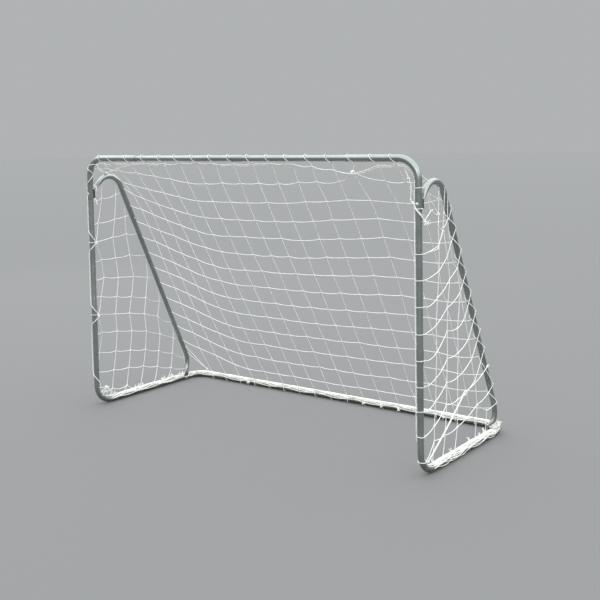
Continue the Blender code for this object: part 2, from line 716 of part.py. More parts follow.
def make_tubes(paint):
    tubes = {}
    makers = (("corner", corner_tube), ("upright", upright_tube), ("lower_front", lower_front_tube),
              ("rear_corner", rear_corner_tube), ("hoop_upper", hoop_upper_tube), ("hoop_lower", hoop_lower_tube))
    for label, side in (("left", -1), ("right", 1)):
        for kind, make in makers:
            tubes[f"{kind}_{label}"] = make(f"{kind}_tube_{label}", side, paint)
        for bar, y, z in (("crossbar", FRONT_Y, BAR_Z), ("rear_bar", REAR_Y, GROUND_Z)):
            tubes[f"{bar}_{label}"] = bar_tube(f"{bar}_tube_{label}", side, y, z, side > 0, paint)
    return tubes


def make_bolts(tubes, steel):
    for label, side in (("left", -1), ("right", 1)):
        upright = axis_frame((side * SIDE_X, FRONT_Y, BOLT_Z), (0, 0, 1), (0, -1, 0))
        add_bolt(f"hoop_top_{label}", upright,
                 [tubes[f"corner_{label}"], tubes[f"upright_{label}"], tubes[f"hoop_upper_{label}"]], steel)
        foot = axis_frame((side * SIDE_X, FOOT_BOLT_Y, GROUND_Z), (0, 1, 0), (side, 0, 0))
        add_bolt(f"hoop_foot_{label}", foot, [tubes[f"rear_corner_{label}"], tubes[f"hoop_lower_{label}"]], steel)


def make_net(twine, rope):
    back_net("net_back_panel", twine)
    side_net("net_left_panel", -1, twine)
    side_net("net_right_panel", 1, twine)
    cord("mouth_hem_cord", mouth_hem_route(), 0.06, rope)
    cord("ground_rope", ground_rope_route(), 0.06, rope)
    cord("side_tie_cord", tie_cord_route(), 0.03, rope)


def main():
    clear_scene()
    paint = make_material("grey powder coat", (0.19, 0.21, 0.19), 0.42, 0.25)
    steel = make_material("zinc plated steel", (0.62, 0.62, 0.60), 0.35, 0.9)
    spring_steel = make_material("spring steel", (0.28, 0.27, 0.26), 0.4, 0.9)
    twine = make_material("white net twine", (0.80, 0.80, 0.76), 0.85, 0.0)
    rope = make_material("white rope", (0.84, 0.84, 0.80), 0.8, 0.0)
    tubes = make_tubes(paint)
    for joint in snap_joints():
        outer_tube, inner_tube = (tubes[key] for key in joint["tubes"])
        add_snap_joint(joint, outer_tube, inner_tube, steel, spring_steel)
    make_bolts(tubes, steel)
    make_net(twine, rope)


main()
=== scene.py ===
import json
import math
import random

import bpy
import numpy as np
from mathutils import Matrix, Vector

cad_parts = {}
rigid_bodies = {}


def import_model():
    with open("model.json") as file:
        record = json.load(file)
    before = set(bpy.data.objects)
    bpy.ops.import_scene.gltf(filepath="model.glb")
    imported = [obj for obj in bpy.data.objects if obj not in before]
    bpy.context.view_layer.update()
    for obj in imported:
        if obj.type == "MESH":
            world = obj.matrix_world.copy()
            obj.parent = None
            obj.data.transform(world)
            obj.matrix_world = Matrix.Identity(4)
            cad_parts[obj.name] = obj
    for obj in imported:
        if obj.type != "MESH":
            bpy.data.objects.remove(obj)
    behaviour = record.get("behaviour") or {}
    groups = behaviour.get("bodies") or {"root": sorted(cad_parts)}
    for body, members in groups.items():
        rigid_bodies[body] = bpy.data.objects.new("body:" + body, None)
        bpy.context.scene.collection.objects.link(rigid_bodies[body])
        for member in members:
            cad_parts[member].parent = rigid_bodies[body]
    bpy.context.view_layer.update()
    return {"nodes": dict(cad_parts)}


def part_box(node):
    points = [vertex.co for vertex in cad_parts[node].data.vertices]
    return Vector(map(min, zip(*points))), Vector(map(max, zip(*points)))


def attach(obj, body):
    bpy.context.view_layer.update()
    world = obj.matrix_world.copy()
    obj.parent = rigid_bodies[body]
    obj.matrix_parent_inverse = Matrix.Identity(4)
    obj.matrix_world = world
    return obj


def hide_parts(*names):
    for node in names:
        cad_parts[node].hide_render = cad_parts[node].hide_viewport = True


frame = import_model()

nodes = frame["nodes"]
print("frame loaded:", len(nodes), "nodes")


# where the tubes run, read from the frame
def middle(node):
    low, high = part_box(node)
    return (low + high) / 2


uprightMiddle = middle("upright_tube_right")
rearMiddle = middle("rear_bar_tube_left")
sideX = uprightMiddle.x
frontY = uprightMiddle.y
rearY = rearMiddle.y
barZ = middle("crossbar_tube_left").z
groundZ = rearMiddle.z

tubeSizes = {
    "socketRadius": 0.014,      # the wider tubes and the swaged ends
    "tubeRadius": 0.0125,
    "hoopLowerRadius": 0.0112,
    "wall": 0.001,
    "socketWall": 0.0012,
    "bend": 0.085,              # radius of every bend, at the tube's axis
    "overlap": 0.05,            # how far one tube plugs into the next
    "flare": 0.006,
    "sides": 32,
    "bendSteps": 14,            # for a quarter turn
    "lip": 0.0003,
}
bend = tubeSizes["bend"]
overlap = tubeSizes["overlap"]
socketRadius = tubeSizes["socketRadius"]
tubeRadius = tubeSizes["tubeRadius"]
wall = tubeSizes["wall"]
flare = tubeSizes["flare"]

jointPlaces = {
    "crossX": sideX - 0.321,
    "highZ": barZ - 0.196,
    "lowZ": groundZ + 0.426,
    "sideY": 0.0,
    "boltZ": barZ - 0.196 + 0.026,
    "footBoltY": rearY - 0.119,
    "buttonSetback": 0.025,     # from the end of the inner or outer tube
}
buttonAt = jointPlaces["buttonSetback"]


# working in edit mode
def deselectAll():
    if bpy.context.object and bpy.context.object.mode != "OBJECT":
        bpy.ops.object.mode_set(mode="OBJECT")
    bpy.ops.object.select_all(action="DESELECT")


def pick(piece):
    deselectAll()
    bpy.context.view_layer.objects.active = piece
    piece.select_set(True)
    return piece


def place(piece):
    # leaves the object at the origin, with its place in its mesh
    pick(piece)
    bpy.ops.object.transform_apply(location=True, rotation=True, scale=True)
    return piece


def selectWhere(piece, test, kind="VERT"):
    # selects the vertices, edges or faces whose middle passes the test, and goes back to edit mode
    if piece.mode != "EDIT":
        bpy.ops.object.mode_set(mode="EDIT")
    bpy.ops.mesh.select_mode(type=kind)
    bpy.ops.mesh.select_all(action="DESELECT")
    bpy.ops.object.mode_set(mode="OBJECT")
    mesh = piece.data
    if kind == "VERT":
        for vertex in mesh.vertices:
            vertex.select = test(vertex.co)
    elif kind == "EDGE":
        for edge in mesh.edges:
            a, b = (mesh.vertices[i].co for i in edge.vertices)
            edge.select = test((a + b) / 2)
    else:
        for face in mesh.polygons:
            face.select = test(face.center, face.normal)
    bpy.ops.object.mode_set(mode="EDIT")


def applyModifier(piece, kind, **values):
    pick(piece)
    modifier = piece.modifiers.new(kind.lower(), kind)
    for key, value in values.items():
        setattr(modifier, key, value)
    bpy.ops.object.modifier_apply(modifier=modifier.name)


def smooth(piece, degrees=35):
    pick(piece)
    bpy.ops.object.shade_smooth_by_angle(angle=math.radians(degrees))


def copyOf(piece, name, matrix):
    # a copy with its own mesh, moved or mirrored by the matrix
    twin = piece.copy()
    twin.data = piece.data.copy()
    twin.name = twin.data.name = name
    bpy.context.scene.collection.objects.link(twin)
    twin.data.transform(matrix)
    if matrix.determinant() < 0:
        pick(twin)
        bpy.ops.object.mode_set(mode="EDIT")
        bpy.ops.mesh.select_all(action="SELECT")
        bpy.ops.mesh.flip_normals()
        bpy.ops.object.mode_set(mode="OBJECT")
    return twin


mirrorX = Matrix.Scale(-1, 4, (1, 0, 0))


def finishPiece(piece, body, slot, material, *replaced):
    piece.data.materials.clear()
    piece.data.materials.append(material)
    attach(piece, body)
    if replaced:
        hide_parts(*replaced)
    return piece


# materials
def startMaterial(name, color, roughness, metallic):
    material = bpy.data.materials.new(name)
    material.use_nodes = True
    shader = material.node_tree.nodes["Principled BSDF"]
    shader.inputs["Base Color"].default_value = (*color, 1)
    shader.inputs["Roughness"].default_value = roughness
    shader.inputs["Metallic"].default_value = metallic
    return material, material.node_tree, shader


def addNode(tree, kind, **values):
    made = tree.nodes.new(kind)
    for key, value in values.items():
        if key in made.inputs:
            made.inputs[key].default_value = value
        else:
            setattr(made, key, value)
    return made


def noiseOn(tree, source, scale, detail=3.0, stretch=(1, 1, 1)):
    mapping = addNode(tree, "ShaderNodeMapping")
    mapping.inputs["Scale"].default_value = stretch
    tree.links.new(source, mapping.inputs["Vector"])
    noise = addNode(tree, "ShaderNodeTexNoise", Scale=scale, Detail=detail)
    tree.links.new(mapping.outputs["Vector"], noise.inputs["Vector"])
    return noise.outputs["Fac"]


def rampOn(tree, source, stops):
    ramp = addNode(tree, "ShaderNodeValToRGB")
    elements = ramp.color_ramp.elements
    while len(elements) < len(stops):
        elements.new(0.5)
    for element, (position, color) in zip(elements, stops):
        element.position = position
        element.color = (*color, 1)
    tree.links.new(source, ramp.inputs["Fac"])
    return ramp.outputs["Color"]


def rangeOn(tree, source, fromLow, fromHigh, toLow, toHigh):
    made = addNode(tree, "ShaderNodeMapRange")
    limits = {"From Min": fromLow, "From Max": fromHigh, "To Min": toLow, "To Max": toHigh}
    for key, value in limits.items():
        made.inputs[key].default_value = value
    tree.links.new(source, made.inputs["Value"])
    return made.outputs["Result"]


def mixColors(tree, factor, first, second):
    made = addNode(tree, "ShaderNodeMix", data_type="RGBA")
    tree.links.new(factor, made.inputs["Factor"])
    for socket, value in ((made.inputs[6], first), (made.inputs[7], second)):
        if isinstance(value, tuple):
            socket.default_value = (*value, 1)
        else:
            tree.links.new(value, socket)
    return made.outputs[2]


def multiply(tree, first, second):
    made = addNode(tree, "ShaderNodeMath", operation="MULTIPLY")
    tree.links.new(first, made.inputs[0])
    if isinstance(second, float):
        made.inputs[1].default_value = second
    else:
        tree.links.new(second, made.inputs[1])
    return made.outputs["Value"]


def bumpFrom(tree, shader, height, strength, distance, below=None):
    bump = addNode(tree, "ShaderNodeBump", Strength=strength, Distance=distance)
    tree.links.new(height, bump.inputs["Height"])
    if below:
        tree.links.new(below, bump.inputs["Normal"])
    tree.links.new(bump.outputs["Normal"], shader.inputs["Normal"])
    return bump.outputs["Normal"]


def dirtMask(tree, coordinates, top, amount):
    # strongest at the ground, gone above top, broken up by noise
    split = addNode(tree, "ShaderNodeSeparateXYZ")
    tree.links.new(coordinates, split.inputs["Vector"])
    height = rangeOn(tree, split.outputs["Z"], 0.0, top, amount, 0.0)
    patches = rangeOn(tree, noiseOn(tree, coordinates, 45.0, 4.0), 0.42, 0.62, 0.15, 1.0)
    return multiply(tree, height, patches)


paintFinish = {
    "color": (0.255, 0.282, 0.268),
    "lightColor": (0.310, 0.338, 0.324),
    "dirtColor": (0.110, 0.100, 0.065),
    "roughness": (0.20, 0.33),
    "metallic": 0.88,
    "peelScale": 620.0,
    "dirtTop": 0.075,
}


def makePaint():
    finish = paintFinish
    material, tree, shader = startMaterial("grey powder coat", finish["color"], 0.36, finish["metallic"])
    shader.inputs["Coat Weight"].default_value = 0.15
    shader.inputs["Coat Roughness"].default_value = 0.12
    coordinates = addNode(tree, "ShaderNodeTexCoord").outputs["Object"]
    clouds = rangeOn(tree, noiseOn(tree, coordinates, 9.0, 5.0), 0.35, 0.65, 0.0, 1.0)
    body = mixColors(tree, clouds, finish["color"], finish["lightColor"])
    specks = rangeOn(tree, noiseOn(tree, coordinates, 1400.0, 1.0), 0.60, 0.72, 0.0, 0.18)
    body = mixColors(tree, specks, body, (0.52, 0.54, 0.53))
    dirt = dirtMask(tree, coordinates, finish["dirtTop"], 0.75)
    body = mixColors(tree, dirt, body, finish["dirtColor"])
    tree.links.new(body, shader.inputs["Base Color"])
    rubbed = noiseOn(tree, coordinates, 30.0, 6.0)
    tree.links.new(rangeOn(tree, rubbed, 0.3, 0.7, *finish["roughness"]), shader.inputs["Roughness"])
    scratches = rangeOn(tree, noiseOn(tree, coordinates, 70.0, 6.0, (1, 9, 9)), 0.66, 0.70, 0.0, 1.0)
    first = bumpFrom(tree, shader, scratches, 0.10, 0.0002)
    bumpFrom(tree, shader, noiseOn(tree, coordinates, finish["peelScale"], 2.0), 0.10, 0.0004, first)
    return material


def makeMetal(name, color, roughness, spangle):
    material, tree, shader = startMaterial(name, color, roughness, 0.92)
    coordinates = addNode(tree, "ShaderNodeTexCoord").outputs["Object"]
    cells = addNode(tree, "ShaderNodeTexVoronoi", Scale=420.0)
    tree.links.new(coordinates, cells.inputs["Vector"])
    tone = rangeOn(tree, cells.outputs["Distance"], 0.0, 1.0, 0.0, spangle)
    darker = tuple(0.55 * c for c in color)
    stains = rangeOn(tree, noiseOn(tree, coordinates, 160.0, 5.0), 0.55, 0.75, 0.0, 0.7)
    plated = mixColors(tree, tone, color, darker)
    tree.links.new(mixColors(tree, stains, plated, (0.30, 0.26, 0.20)), shader.inputs["Base Color"])
    wear = noiseOn(tree, coordinates, 300.0, 4.0)
    worn = rangeOn(tree, wear, 0.3, 0.7, roughness - 0.10, roughness + 0.15)
    tree.links.new(worn, shader.inputs["Roughness"])
    bumpFrom(tree, shader, noiseOn(tree, coordinates, 900.0, 3.0), 0.2, 0.0002)
    return material


def makeTwine(name, color, pitch, strands, depth):
    # the lay of the strands follows the piece's own map: u once round, v in metres along
    material, tree, shader = startMaterial(name, color, 0.62, 0.0)
    shader.inputs["Sheen Weight"].default_value = 0.25
    shader.inputs["Sheen Roughness"].default_value = 0.5
    shader.inputs["Subsurface Weight"].default_value = 0.12
    shader.inputs["Subsurface Radius"].default_value = (0.002, 0.002, 0.002)
    uv = addNode(tree, "ShaderNodeUVMap", uv_map="alongCord")
    split = addNode(tree, "ShaderNodeSeparateXYZ")
    tree.links.new(uv.outputs["UV"], split.inputs["Vector"])
    turns = multiply(tree, split.outputs["Y"], 2 * math.pi / pitch)
    around = multiply(tree, split.outputs["X"], 2 * math.pi * strands)
    phase = addNode(tree, "ShaderNodeMath", operation="ADD")
    tree.links.new(turns, phase.inputs[0])
    tree.links.new(around, phase.inputs[1])
    wave = addNode(tree, "ShaderNodeMath", operation="SINE")
    tree.links.new(phase.outputs["Value"], wave.inputs[0])
    lay = rangeOn(tree, wave.outputs["Value"], -1.0, 1.0, 0.0, 1.0)
    coordinates = addNode(tree, "ShaderNodeTexCoord").outputs["Object"]
    # the grooves between the strands are painted darker than the strands' crowns: painted shade in the
    # grooves
    shade = rangeOn(tree, lay, 0.0, 0.45, 0.75, 0.0)
    body = mixColors(tree, shade, color, tuple(0.62 * c for c in color))
    tone = rangeOn(tree, noiseOn(tree, coordinates, 14.0, 3.0), 0.4, 0.7, 0.0, 0.35)
    body = mixColors(tree, tone, body, tuple(c * f for c, f in zip(color, (0.86, 0.85, 0.78))))
    dirt = dirtMask(tree, coordinates, 0.06, 0.45)
    body = mixColors(tree, dirt, body, (0.38, 0.36, 0.24))
    tree.links.new(body, shader.inputs["Base Color"])
    fibres = noiseOn(tree, coordinates, 2600.0, 2.0)
    first = bumpFrom(tree, shader, fibres, 0.15, 0.0002)
    bumpFrom(tree, shader, lay, 0.9, depth, first)
    return material


paint = makePaint()
zinc = makeMetal("zinc plated steel", (0.62, 0.62, 0.60), 0.34, 0.35)
springSteel = makeMetal("spring steel", (0.30, 0.29, 0.28), 0.38, 0.15)
netTwine = makeTwine("white net twine", (0.88, 0.88, 0.85), 0.0085, 2, 0.0004)
ropeTwist = makeTwine("white rope", (0.90, 0.90, 0.87), 0.004, 1, 0.0002)
print("materials made")


# every tube is drawn as a ring that is pulled, spun and swaged along its path
def startRing(name, centre, heading, radius):
    deselectAll()
    turn = Vector(heading).to_track_quat("Z", "X").to_euler()
    bpy.ops.mesh.primitive_circle_add(vertices=tubeSizes["sides"], radius=radius, location=centre,
                                      rotation=turn)
    piece = bpy.context.object
    piece.name = piece.data.name = name
    place(piece)
    bpy.ops.object.mode_set(mode="EDIT")
    bpy.ops.mesh.select_all(action="SELECT")
    return piece


def pull(vector, stops=(), factor=None, end=None):
    # straight run, with extra rings at the given distances along it, and an optional swage to a new size
    vector = Vector(vector)
    length = vector.length
    done = 0.0
    for stop in sorted(s for s in stops if 0.002 < s < length - 0.002) + [length]:
        step = vector * ((stop - done) / length)
        bpy.ops.mesh.extrude_region_move(TRANSFORM_OT_translate={"value": step})
        done = stop
    if factor:
        bpy.ops.transform.resize(value=factor, center_override=end)


def swing(centre, axis, degrees):
    # the operator turns the other way about its axis
    steps = max(2, round(tubeSizes["bendSteps"] * abs(degrees) / 90))
    bpy.ops.mesh.spin(steps=steps, angle=-math.radians(degrees), center=centre, axis=axis)


def closeTube(piece, thickness):
    bpy.ops.mesh.select_all(action="SELECT")
    bpy.ops.mesh.remove_doubles(threshold=1e-6)
    bpy.ops.mesh.normals_make_consistent(inside=False)
    bpy.ops.object.mode_set(mode="OBJECT")
    if thickness:
        applyModifier(piece, "SOLIDIFY", thickness=thickness, offset=-1.0)
    applyModifier(piece, "BEVEL", width=tubeSizes["lip"], segments=2, limit_method="ANGLE",
                  angle_limit=math.radians(55))
    return piece


def drillHole(piece, start, direction, radius, depth):
    deselectAll()
    direction = Vector(direction)
    centre = Vector(start) + direction * depth / 2
    bpy.ops.mesh.primitive_cylinder_add(vertices=24, radius=radius, depth=depth, location=centre,
                                        rotation=direction.to_track_quat("Z", "X").to_euler())
    drill = bpy.context.object
    place(drill)
    applyModifier(piece, "BOOLEAN", operation="DIFFERENCE", solver="EXACT", object=drill)
    bpy.data.objects.remove(drill, do_unlink=True)


holes = {
    "button": 0.00405,
    "buttonDepth": 0.03,
    "bolt": 0.0033,
    "boltDepth": 0.06,
    "ringReach": 0.011,
}


def ringsAt(*places):
    # rings either side of each hole keep its cut from running down the whole tube
    return [p + d for p in places for d in (-holes["ringReach"], holes["ringReach"])]


def drillButton(piece, start, direction):
    drillHole(piece, start, direction, holes["button"], holes["buttonDepth"])


def drillBolt(piece, axisPoint, direction):
    # right through the tube, half of the drill on either side of its axis
    start = Vector(axisPoint) - Vector(direction) * holes["boltDepth"] / 2
    drillHole(piece, start, direction, holes["bolt"], holes["boltDepth"])


def makeCorner():
    start = Vector((jointPlaces["crossX"], frontY, barZ))
    piece = startRing("cornerTube", start, (1, 0, 0), socketRadius)
    pull((sideX - bend - start.x, 0, 0), ringsAt(buttonAt))
    swing((sideX - bend, frontY, barZ - bend), (0, 1, 0), 90)
    top = barZ - bend
    pull((0, 0, jointPlaces["highZ"] - top), ringsAt(top - jointPlaces["boltZ"]))
    closeTube(piece, tubeSizes["socketWall"])
    drillButton(piece, start + Vector((buttonAt, 0, 0)), (0, 1, 0))
    drillBolt(piece, (sideX, frontY, jointPlaces["boltZ"]), (0, 1, 0))
    return piece


def makeUpright():
    low, high = jointPlaces["lowZ"], jointPlaces["highZ"] + overlap
    start = Vector((sideX, frontY, low))
    piece = startRing("uprightTube", start, (0, 0, 1), socketRadius)
    pull((0, 0, overlap), ringsAt(buttonAt))
    flareEnd = Vector((sideX, frontY, low + overlap + flare))
    size = tubeRadius / socketRadius
    pull((0, 0, flare), (), (size, size, 1), flareEnd)
    pull((0, 0, high - flareEnd.z), ringsAt(jointPlaces["boltZ"] - flareEnd.z))
    closeTube(piece, wall)
    drillButton(piece, start + Vector((0, 0, buttonAt)), (0, 1, 0))
    drillBolt(piece, (sideX, frontY, jointPlaces["boltZ"]), (0, 1, 0))
    return piece


def makeLowerFront():
    top = jointPlaces["lowZ"] + overlap
    start = Vector((sideX, frontY, top))
    piece = startRing("lowerFrontTube", start, (0, 0, -1), tubeRadius)
    pull((0, 0, groundZ + bend - top), ringsAt(buttonAt))
    swing((sideX, frontY + bend, groundZ + bend), (1, 0, 0), 90)
    run = jointPlaces["sideY"] + overlap - frontY - bend
    pull((0, run, 0), ringsAt(run - buttonAt))
    closeTube(piece, wall)
    drillButton(piece, start - Vector((0, 0, buttonAt)), (0, 1, 0))
    drillButton(piece, (sideX, jointPlaces["sideY"] + buttonAt, groundZ), (-1, 0, 0))
    return piece


def makeRearCorner():
    start = Vector((sideX, jointPlaces["sideY"], groundZ))
    piece = startRing("rearCornerTube", start, (0, 1, 0), socketRadius)
    footBolt = jointPlaces["footBoltY"]
    pull((0, rearY - bend - start.y, 0), ringsAt(buttonAt, footBolt - start.y))
    swing((sideX - bend, rearY - bend, groundZ), (0, 0, 1), 90)
    end = jointPlaces["crossX"]
    run = sideX - bend - end
    pull((-run, 0, 0), ringsAt(run - buttonAt))
    closeTube(piece, tubeSizes["socketWall"])
    drillButton(piece, start + Vector((0, buttonAt, 0)), (-1, 0, 0))
    drillButton(piece, (end + buttonAt, rearY, groundZ), (0, 1, 0))
    drillBolt(piece, (sideX, footBolt, groundZ), (-1, 0, 0))
    return piece


def makeBar(name, socket):
    # middle tube of the crossbar; the rear bar's is the same part
    outer = jointPlaces["crossX"] + overlap
    side = 1 if socket else -1
    if socket:
        start = Vector((0, frontY, barZ))
        piece = startRing(name, start, (1, 0, 0), socketRadius)
        pull((overlap, 0, 0), ringsAt(buttonAt))
        flareEnd = Vector((overlap + flare, frontY, barZ))
        size = tubeRadius / socketRadius
        pull((flare, 0, 0), (), (1, size, size), flareEnd)
        run = outer - flareEnd.x
        pull((run, 0, 0), ringsAt(run - buttonAt))
    else:
        start = Vector((overlap, frontY, barZ))
        piece = startRing(name, start, (-1, 0, 0), tubeRadius)
        run = outer + overlap
        pull((-run, 0, 0), ringsAt(overlap - buttonAt, run - buttonAt))
    closeTube(piece, wall)
    for x in (buttonAt, side * (outer - buttonAt)):
        drillButton(piece, (x, frontY, barZ), (0, 1, 0))
    return piece


hoopSizes = {
    "topBelowBar": 0.0905,
    "setback": 0.115,
    "footForward": 0.119,
    "footAngle": 28.0,
    "footStraight": 0.052,
    "upperLeg": 0.21,
    "tabWidth": 0.027,
    "tabThickness": 0.0025,
    "tabHalf": 0.018,
    "tipLength": 0.008,
    "tipWidth": 0.016,
    "inset": 0.01555,
}


def hoopLine():
    # the hoop's axis in its own plane, as (y, z)
    size = hoopSizes
    arch = Vector((frontY + size["setback"], barZ - size["topBelowBar"] - bend))
    foot = math.radians(size["footAngle"])
    bolt = Vector((rearY - size["footForward"], groundZ))
    bendEnd = bolt + size["footStraight"] * Vector((math.sin(foot), math.cos(foot)))
    low = bendEnd - bend * Vector((math.cos(foot), -math.sin(foot)))
    run = low - arch
    leg = math.atan2(run.y, run.x)
    out = Vector((-math.sin(leg), math.cos(leg)))
    tabTop = Vector((frontY + size["inset"], jointPlaces["boltZ"] + size["tabHalf"]))
    away = tabTop - arch
    touch = math.atan2(away.y, away.x) - math.acos(bend / away.length)
    return {
        "arch": arch, "low": low, "leg": leg, "out": out, "bendEnd": bendEnd, "bolt": bolt,
        "legStart": arch + bend * out, "legEnd": low + bend * out, "tabTop": tabTop, "touch": touch,
        "neckEnd": arch + bend * Vector((math.cos(touch), math.sin(touch))),
    }


hoop = hoopLine()


def onHoop(point, across=0.0):
    return Vector((sideX + across, point.x, point.y))


def turnRing(centre, degrees):
    # the operator turns the other way about X
    bpy.ops.transform.rotate(value=-math.radians(degrees), orient_axis="X", center_override=centre)


def turnOut(grow, centre):
    # the tube's cut end: from the bore's ring to the outside's
    bpy.ops.mesh.extrude_region_move(TRANSFORM_OT_translate={"value": (0, 0, 0)})
    bpy.ops.transform.resize(value=(grow, grow, grow), center_override=centre)


def makeHoopUpper():
    # the bore first, from the crimp to the open end, then back along the outside to the crimped tab
    size = hoopSizes
    bore = tubeRadius - wall
    neck = hoop["neckEnd"] - hoop["tabTop"]
    heading = neck.normalized()
    down = Vector((math.cos(hoop["leg"]), math.sin(hoop["leg"])))
    boreStart = hoop["neckEnd"] - heading * flare
    bent = math.degrees(hoop["touch"] - (hoop["leg"] + math.pi / 2))
    legEnd = hoop["legStart"] + down * size["upperLeg"]
    upDir = Vector((0, heading.x, heading.y))
    downDir = Vector((0, down.x, down.y))
    holeAt = size["upperLeg"] - buttonAt
    piece = startRing("hoopUpperTube", onHoop(boreStart), upDir, bore)
    bpy.ops.mesh.edge_face_add()
    pull(upDir * flare)
    swing(onHoop(hoop["arch"]), (1, 0, 0), -bent)
    pull(downDir * size["upperLeg"], ringsAt(holeAt))
    turnOut(tubeRadius / bore, onHoop(legEnd))
    pull(-downDir * size["upperLeg"], ringsAt(buttonAt))
    swing(onHoop(hoop["arch"]), (1, 0, 0), bent)
    # the neck flattens towards the tab while its rings turn upright
    rings = 7
    steps = [(hoop["neckEnd"] - neck * (k / rings)) for k in range(1, rings + 1)]
    last = hoop["neckEnd"]
    tilt = 90 - math.degrees(math.atan2(heading.y, heading.x))
    flat = size["tabThickness"] / 2 / tubeRadius
    wide = size["tabWidth"] / 2 / tubeRadius
    before = 0.0
    for k, point in enumerate(steps, 1):
        share = k / rings
        ease = share * share * (3 - 2 * share)
        bpy.ops.mesh.extrude_region_move(TRANSFORM_OT_translate={"value": onHoop(point) - onHoop(last)})
        turnRing(onHoop(point), tilt * (ease - before))
        thin = (1 + (flat - 1) * ease) / (1 + (flat - 1) * before)
        broad = (1 + (wide - 1) * ease) / (1 + (wide - 1) * before)
        bpy.ops.transform.resize(value=(broad, thin, 1), center_override=onHoop(point))
        last, before = point, ease
    pull((0, 0, -2 * size["tabHalf"]), ringsAt(size["tabHalf"]))
    bpy.ops.mesh.edge_face_add()
    closeTube(piece, None)
    drillBolt(piece, (sideX, frontY, jointPlaces["boltZ"]), (0, 1, 0))
    drillButton(piece, onHoop(hoop["legStart"] + down * holeAt), (-1, 0, 0))
    return piece


def makeHoopLower():
    size = hoopSizes
    outer = tubeSizes["hoopLowerRadius"]
    bore = outer - wall
    down = Vector((math.cos(hoop["leg"]), math.sin(hoop["leg"])))
    downDir = Vector((0, down.x, down.y))
    start = hoop["legStart"] + down * (size["upperLeg"] - overlap)
    run = (hoop["legEnd"] - start).length
    turn = math.degrees(hoop["leg"]) + 90 + size["footAngle"]
    piece = startRing("hoopLowerTube", onHoop(hoop["legEnd"]), -downDir, bore)
    bpy.ops.mesh.edge_face_add()
    pull(-downDir * run, ringsAt(run - buttonAt))
    turnOut(outer / bore, onHoop(start))
    pull(downDir * run, ringsAt(buttonAt))
    # round the foot bend, leaning inwards as the crimp begins
    low, steps = hoop["low"], 14
    flat = size["tabThickness"] / 2 / outer
    wide = size["tabWidth"] / 2 / outer
    lean = begin = 0.0
    for k in range(1, steps + 1):
        swing(onHoop(low, -lean), (1, 0, 0), -turn / steps)
        share = max(0.0, (k / steps - 0.5) / 0.5)
        ease = 0.3 * share * share
        step = (ease - begin) * size["inset"]
        bpy.ops.transform.translate(value=(-step, 0, 0))
        lean, begin = lean + step, ease
    # the foot: flattened across X, joggled on to the ground tube's inner side
    heading = math.radians(-90 - size["footAngle"])
    foot = Vector((0, math.cos(heading), math.sin(heading)))
    point = onHoop(hoop["bendEnd"], -lean)
    rings, crimp = 6, 0.45 * size["footStraight"]
    across = lean
    thinNow = wideNow = 1.0
    for k in range(1, rings + 1):
        share = k / rings
        ease = share * share * (3 - 2 * share)
        offset = lean + (size["inset"] - lean) * ease
        move = foot * (crimp / rings) - Vector((offset - across, 0, 0))
        point = point + move
        bpy.ops.mesh.extrude_region_move(TRANSFORM_OT_translate={"value": move})
        across = offset
        thin, broad = 1 + (flat - 1) * ease, 1 + (wide - 1) * ease
        # widened along the foot plane's own across direction
        turnRing(point, size["footAngle"])
        bpy.ops.transform.resize(value=(thin / thinNow, broad / wideNow, 1), center_override=point)
        turnRing(point, -size["footAngle"])
        thinNow, wideNow = thin, broad
    rest = 0.55 * size["footStraight"]
    pull(foot * rest, ringsAt(rest))
    # the rounded tip, as shares of its length and of its narrowing
    narrow = size["tipWidth"] / size["tabWidth"]
    last, back = point + foot * rest, 1.0
    for share, narrowing in ((0.45, 0.5), (0.8, 0.85), (1.0, 1.0)):
        at = point + foot * (rest + size["tipLength"] * share)
        bpy.ops.mesh.extrude_region_move(TRANSFORM_OT_translate={"value": at - last})
        goal = 1 + (narrow - 1) * narrowing
        turnRing(at, size["footAngle"])
        bpy.ops.transform.resize(value=(1, goal / back, 1), center_override=at)
        turnRing(at, -size["footAngle"])
        last, back = at, goal
    bpy.ops.mesh.edge_face_add()
    closeTube(piece, None)
    holeAt = hoop["legStart"] + down * (size["upperLeg"] - buttonAt)
    drillButton(piece, onHoop(holeAt), (-1, 0, 0))
    drillBolt(piece, (sideX, jointPlaces["footBoltY"], groundZ), (-1, 0, 0))
    return piece


def setTubes():
    makers = {"corner": makeCorner, "upright": makeUpright, "lower_front": makeLowerFront,
              "rear_corner": makeRearCorner, "hoop_upper": makeHoopUpper, "hoop_lower": makeHoopLower}
    for kind, make in makers.items():
        right = make()
        left = copyOf(right, f"{kind}_steel_left", mirrorX)
        right.name = right.data.name = f"{kind}_steel_right"
        for label, piece in (("left", left), ("right", right)):
            smooth(piece)
            finishPiece(piece, "goal_frame", "powder_coat", paint, f"{kind}_tube_{label}")
        print("  tube", kind)
    toRear = Matrix.Translation((0, rearY - frontY, groundZ - barZ))
    for label in ("left", "right"):
        bar = makeBar(f"crossbar_steel_{label}", label == "right")
        smooth(bar)
        rear = copyOf(bar, f"rear_bar_steel_{label}", toRear)
        finishPiece(bar, "goal_frame", "powder_coat", paint, f"crossbar_tube_{label}")
        finishPiece(rear, "goal_frame", "powder_coat", paint, f"rear_bar_tube_{label}")
    print("tubes made")


setTubes()


# snap buttons and bolts are modelled once at the origin and copied
def axisFrame(origin, forward, up):
    x, z = Vector(forward).normalized(), Vector(up).normalized()
    made = Matrix((x, z.cross(x), z)).transposed().to_4x4()
    made.translation = Vector(origin)
    return made


buttonSizes = {
    "radius": 0.00375,
    "proud": 0.0035,
    "stripWidth": 0.009,
    "stripThickness": 0.0008,
    "stripFront": 0.008,
    "stripBack": 0.0257,
    "stripCorner": 0.0032,
    "clearance": 0.0004,
    "dome": 0.0021,
}


